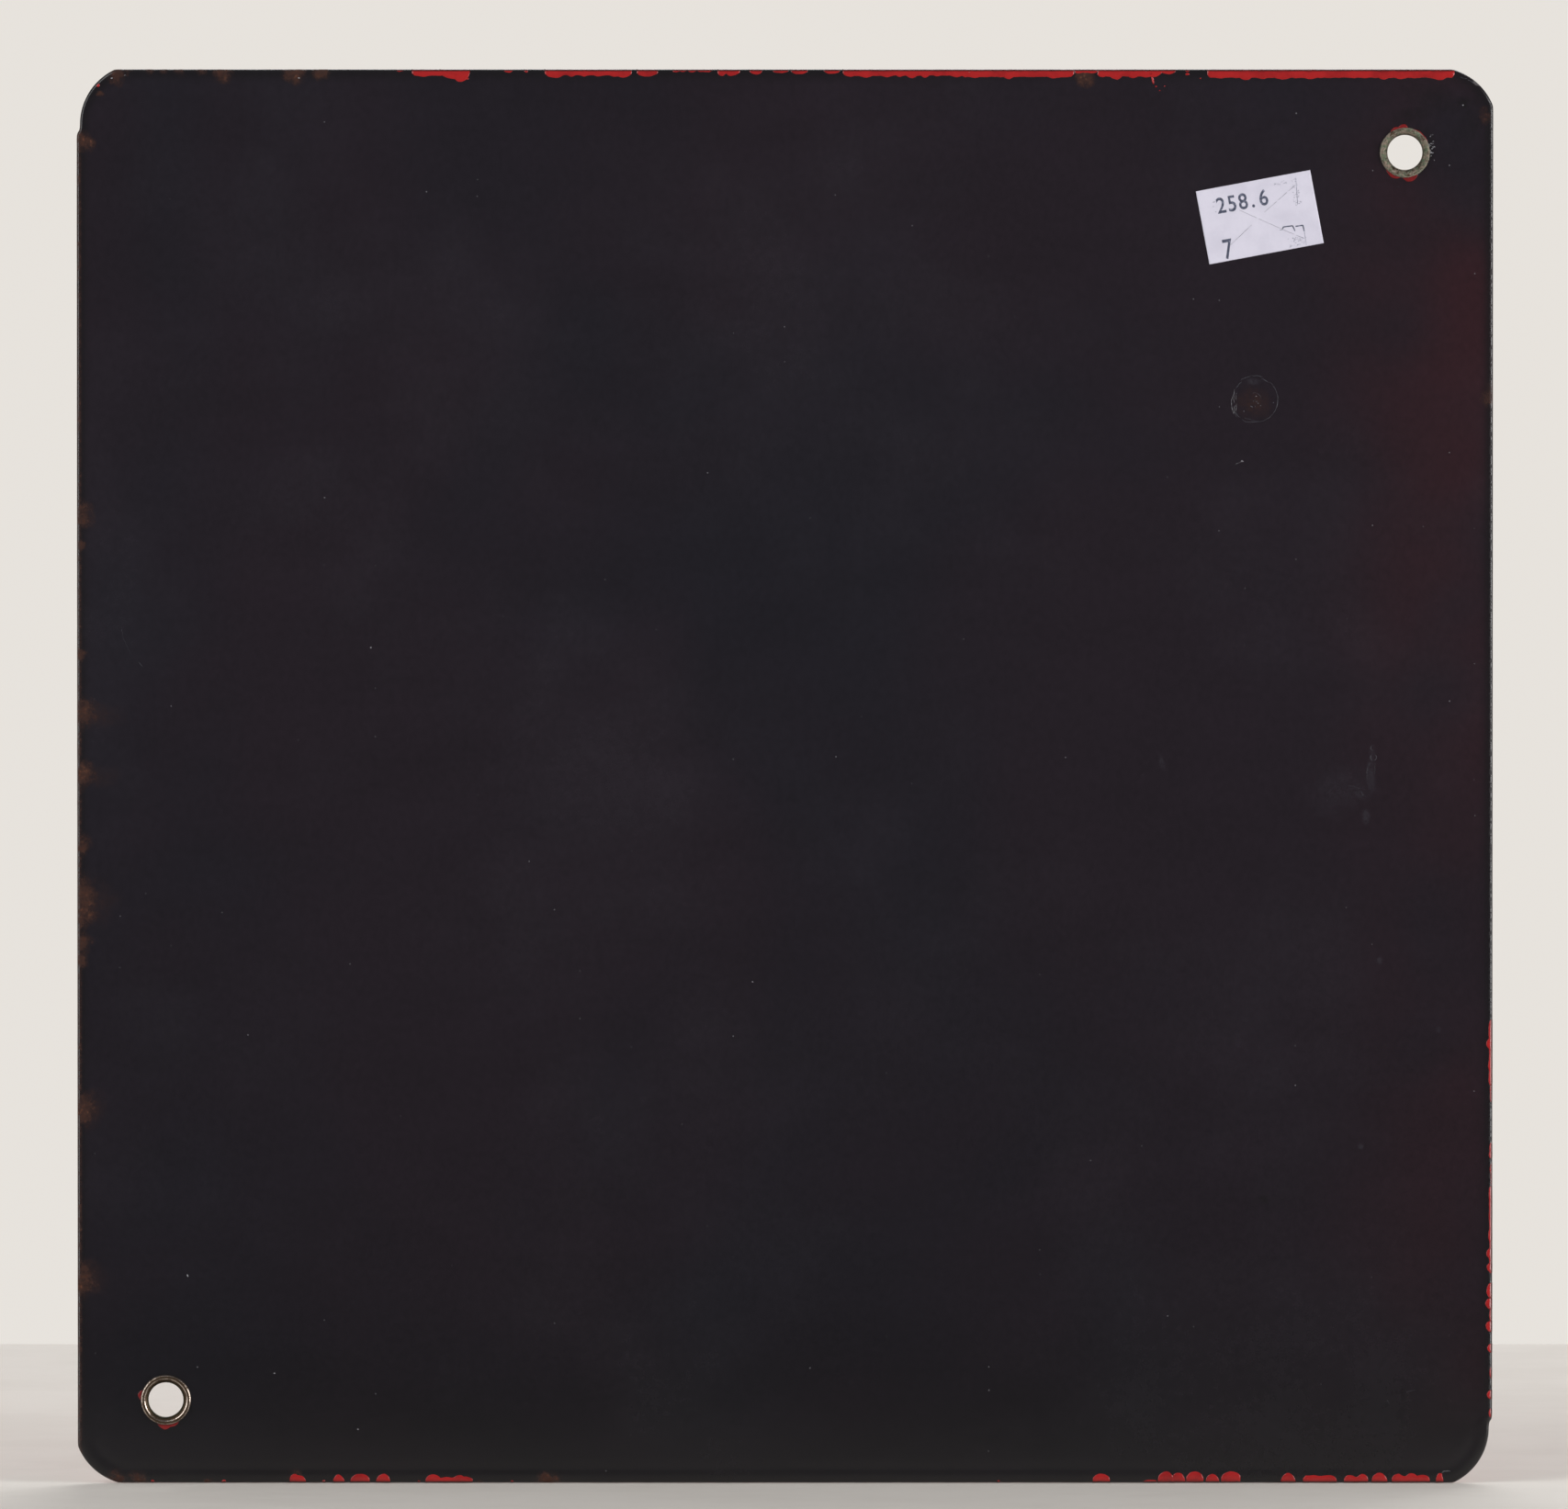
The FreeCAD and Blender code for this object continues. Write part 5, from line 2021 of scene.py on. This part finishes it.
# Pale flecks; the one at 145.8, 144.6 is a painted highlight on the dark lump of enamel near the corner.
FLECKS_AND_GLINT = tuple(Fleck(*spot) for spot in (
    (98.3, 67.9, 0.55, 0.45), (138.9, 134.4, 0.35, 0.5, 20.0), (138.3, 136.2, 0.45, 0.3, 40.0),
    (-144.7, 150.4, 0.4, 0.22, 20.0), (-141.9, 151.0, 0.3, 0.2), (101.4, 82.0, 0.25, 0.2),
    (-104.5, 150.5, 0.5, 0.28), (145.8, 144.6, 0.35, 0.3), (-109.9, -128.6, 0.5, 0.25),
    (-92.0, -140.8, 0.35, 0.3), (-89.1, 27.8, 0.3, 0.3), (-128.6, -107.6, 0.25, 0.6),
    (-6.9, -44.2, 0.3, 0.25),
))


def report(made: bpy.types.Object) -> None:
    """Logs a finished piece."""
    log.info("%s: %d faces", made.name, len(made.data.polygons))


def build_plate(sweep: bpy.types.NodeTree, lay: bpy.types.NodeTree) -> None:
    """Builds the plate with the red run-over and the marks on its back.

    Args:
        sweep: The tree that carries a section along an outline.
        lay: The tree that lays pads on a surface.
    """
    low, high = (Vector(corner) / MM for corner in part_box("enamelled_plate"))
    form = Plate(high.x - low.x, high.z - low.z, high.y - low.y)
    dark = DarkEnamel(SMUDGES, STAINS_AND_SHADOWS, BROWNED, RUST).build()
    front = RedEnamel("red_enamel_front", (0.38, 0.0095, 0.0095), (0.33, 0.0085, 0.0085), 45.0).build()
    plate = form.build(sweep, dark, front)
    report(plate)

    runs = RedRuns(form, TOP_RUNS + BOTTOM_RUNS + RIGHT_RUNS, (), RED_SPOTS)
    report(runs.build("red_runs", lay, plate, RedEnamel().build()))
    weak = RedEnamel("red_enamel_thin", (0.19, 0.0080, 0.0085), (0.10, 0.0060, 0.0070)).build()
    report(RedRuns(form, (), POOLS, ()).build("red_pools", lay, plate, weak))

    pale = Speckled("pale_glue", (0.30, 0.30, 0.32), (0.10, 0.09, 0.10), 0.6, roughness=0.4).build()
    crumbled = crumbs(138.9, 135.2, 0.9, 3.6, 24, 9)
    flecks = Marks(scrapes() + PALE_STREAKS, FLECKS_AND_GLINT + crumbled)
    report(flecks.build(lay, plate, "pale_flecks", 0.05, pale))
    thin = Speckled("thin_glue", (0.060, 0.062, 0.074), (0.018, 0.017, 0.022), 0.7, roughness=0.35).build()
    film = Marks(glue_ring() + THIN_STREAKS, crumbs(101.0, 81.0, 4.0, 4.0, 9, 5))
    report(film.build(lay, plate, "thin_glue", 0.03, thin))


def main() -> None:
    """Builds the sign and its setting."""
    logging.basicConfig(level=logging.INFO, format="%(name)s: %(message)s")
    sweep = SweepTree().build()
    build_plate(sweep, LayTree().build())
    for node, patina, seed in (("upper_eyelet", Patina.CRUSTED, 2.0), ("lower_eyelet", Patina.WORN, 6.0)):
        report(Eyelet(node, patina, seed).build(sweep))

    ink = Speckled("label_ink", (0.048, 0.055, 0.090), (0.22, 0.23, 0.31), 0.5, (0.48, 0.70)).build()
    faded = Speckled("faded_ink", (0.16, 0.165, 0.22), (0.40, 0.40, 0.47), 0.5, (0.40, 0.60)).build()
    # Painted shade along the label's creases.
    crease = Speckled("label_crease", (0.22, 0.215, 0.25), (0.42, 0.41, 0.47), 0.8, (0.45, 0.65)).build()
    report(Label().build((LabelPaper().build(), ink, faded, crease)))

    Studio().build()
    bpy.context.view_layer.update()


if __name__ == "__main__":
    main()
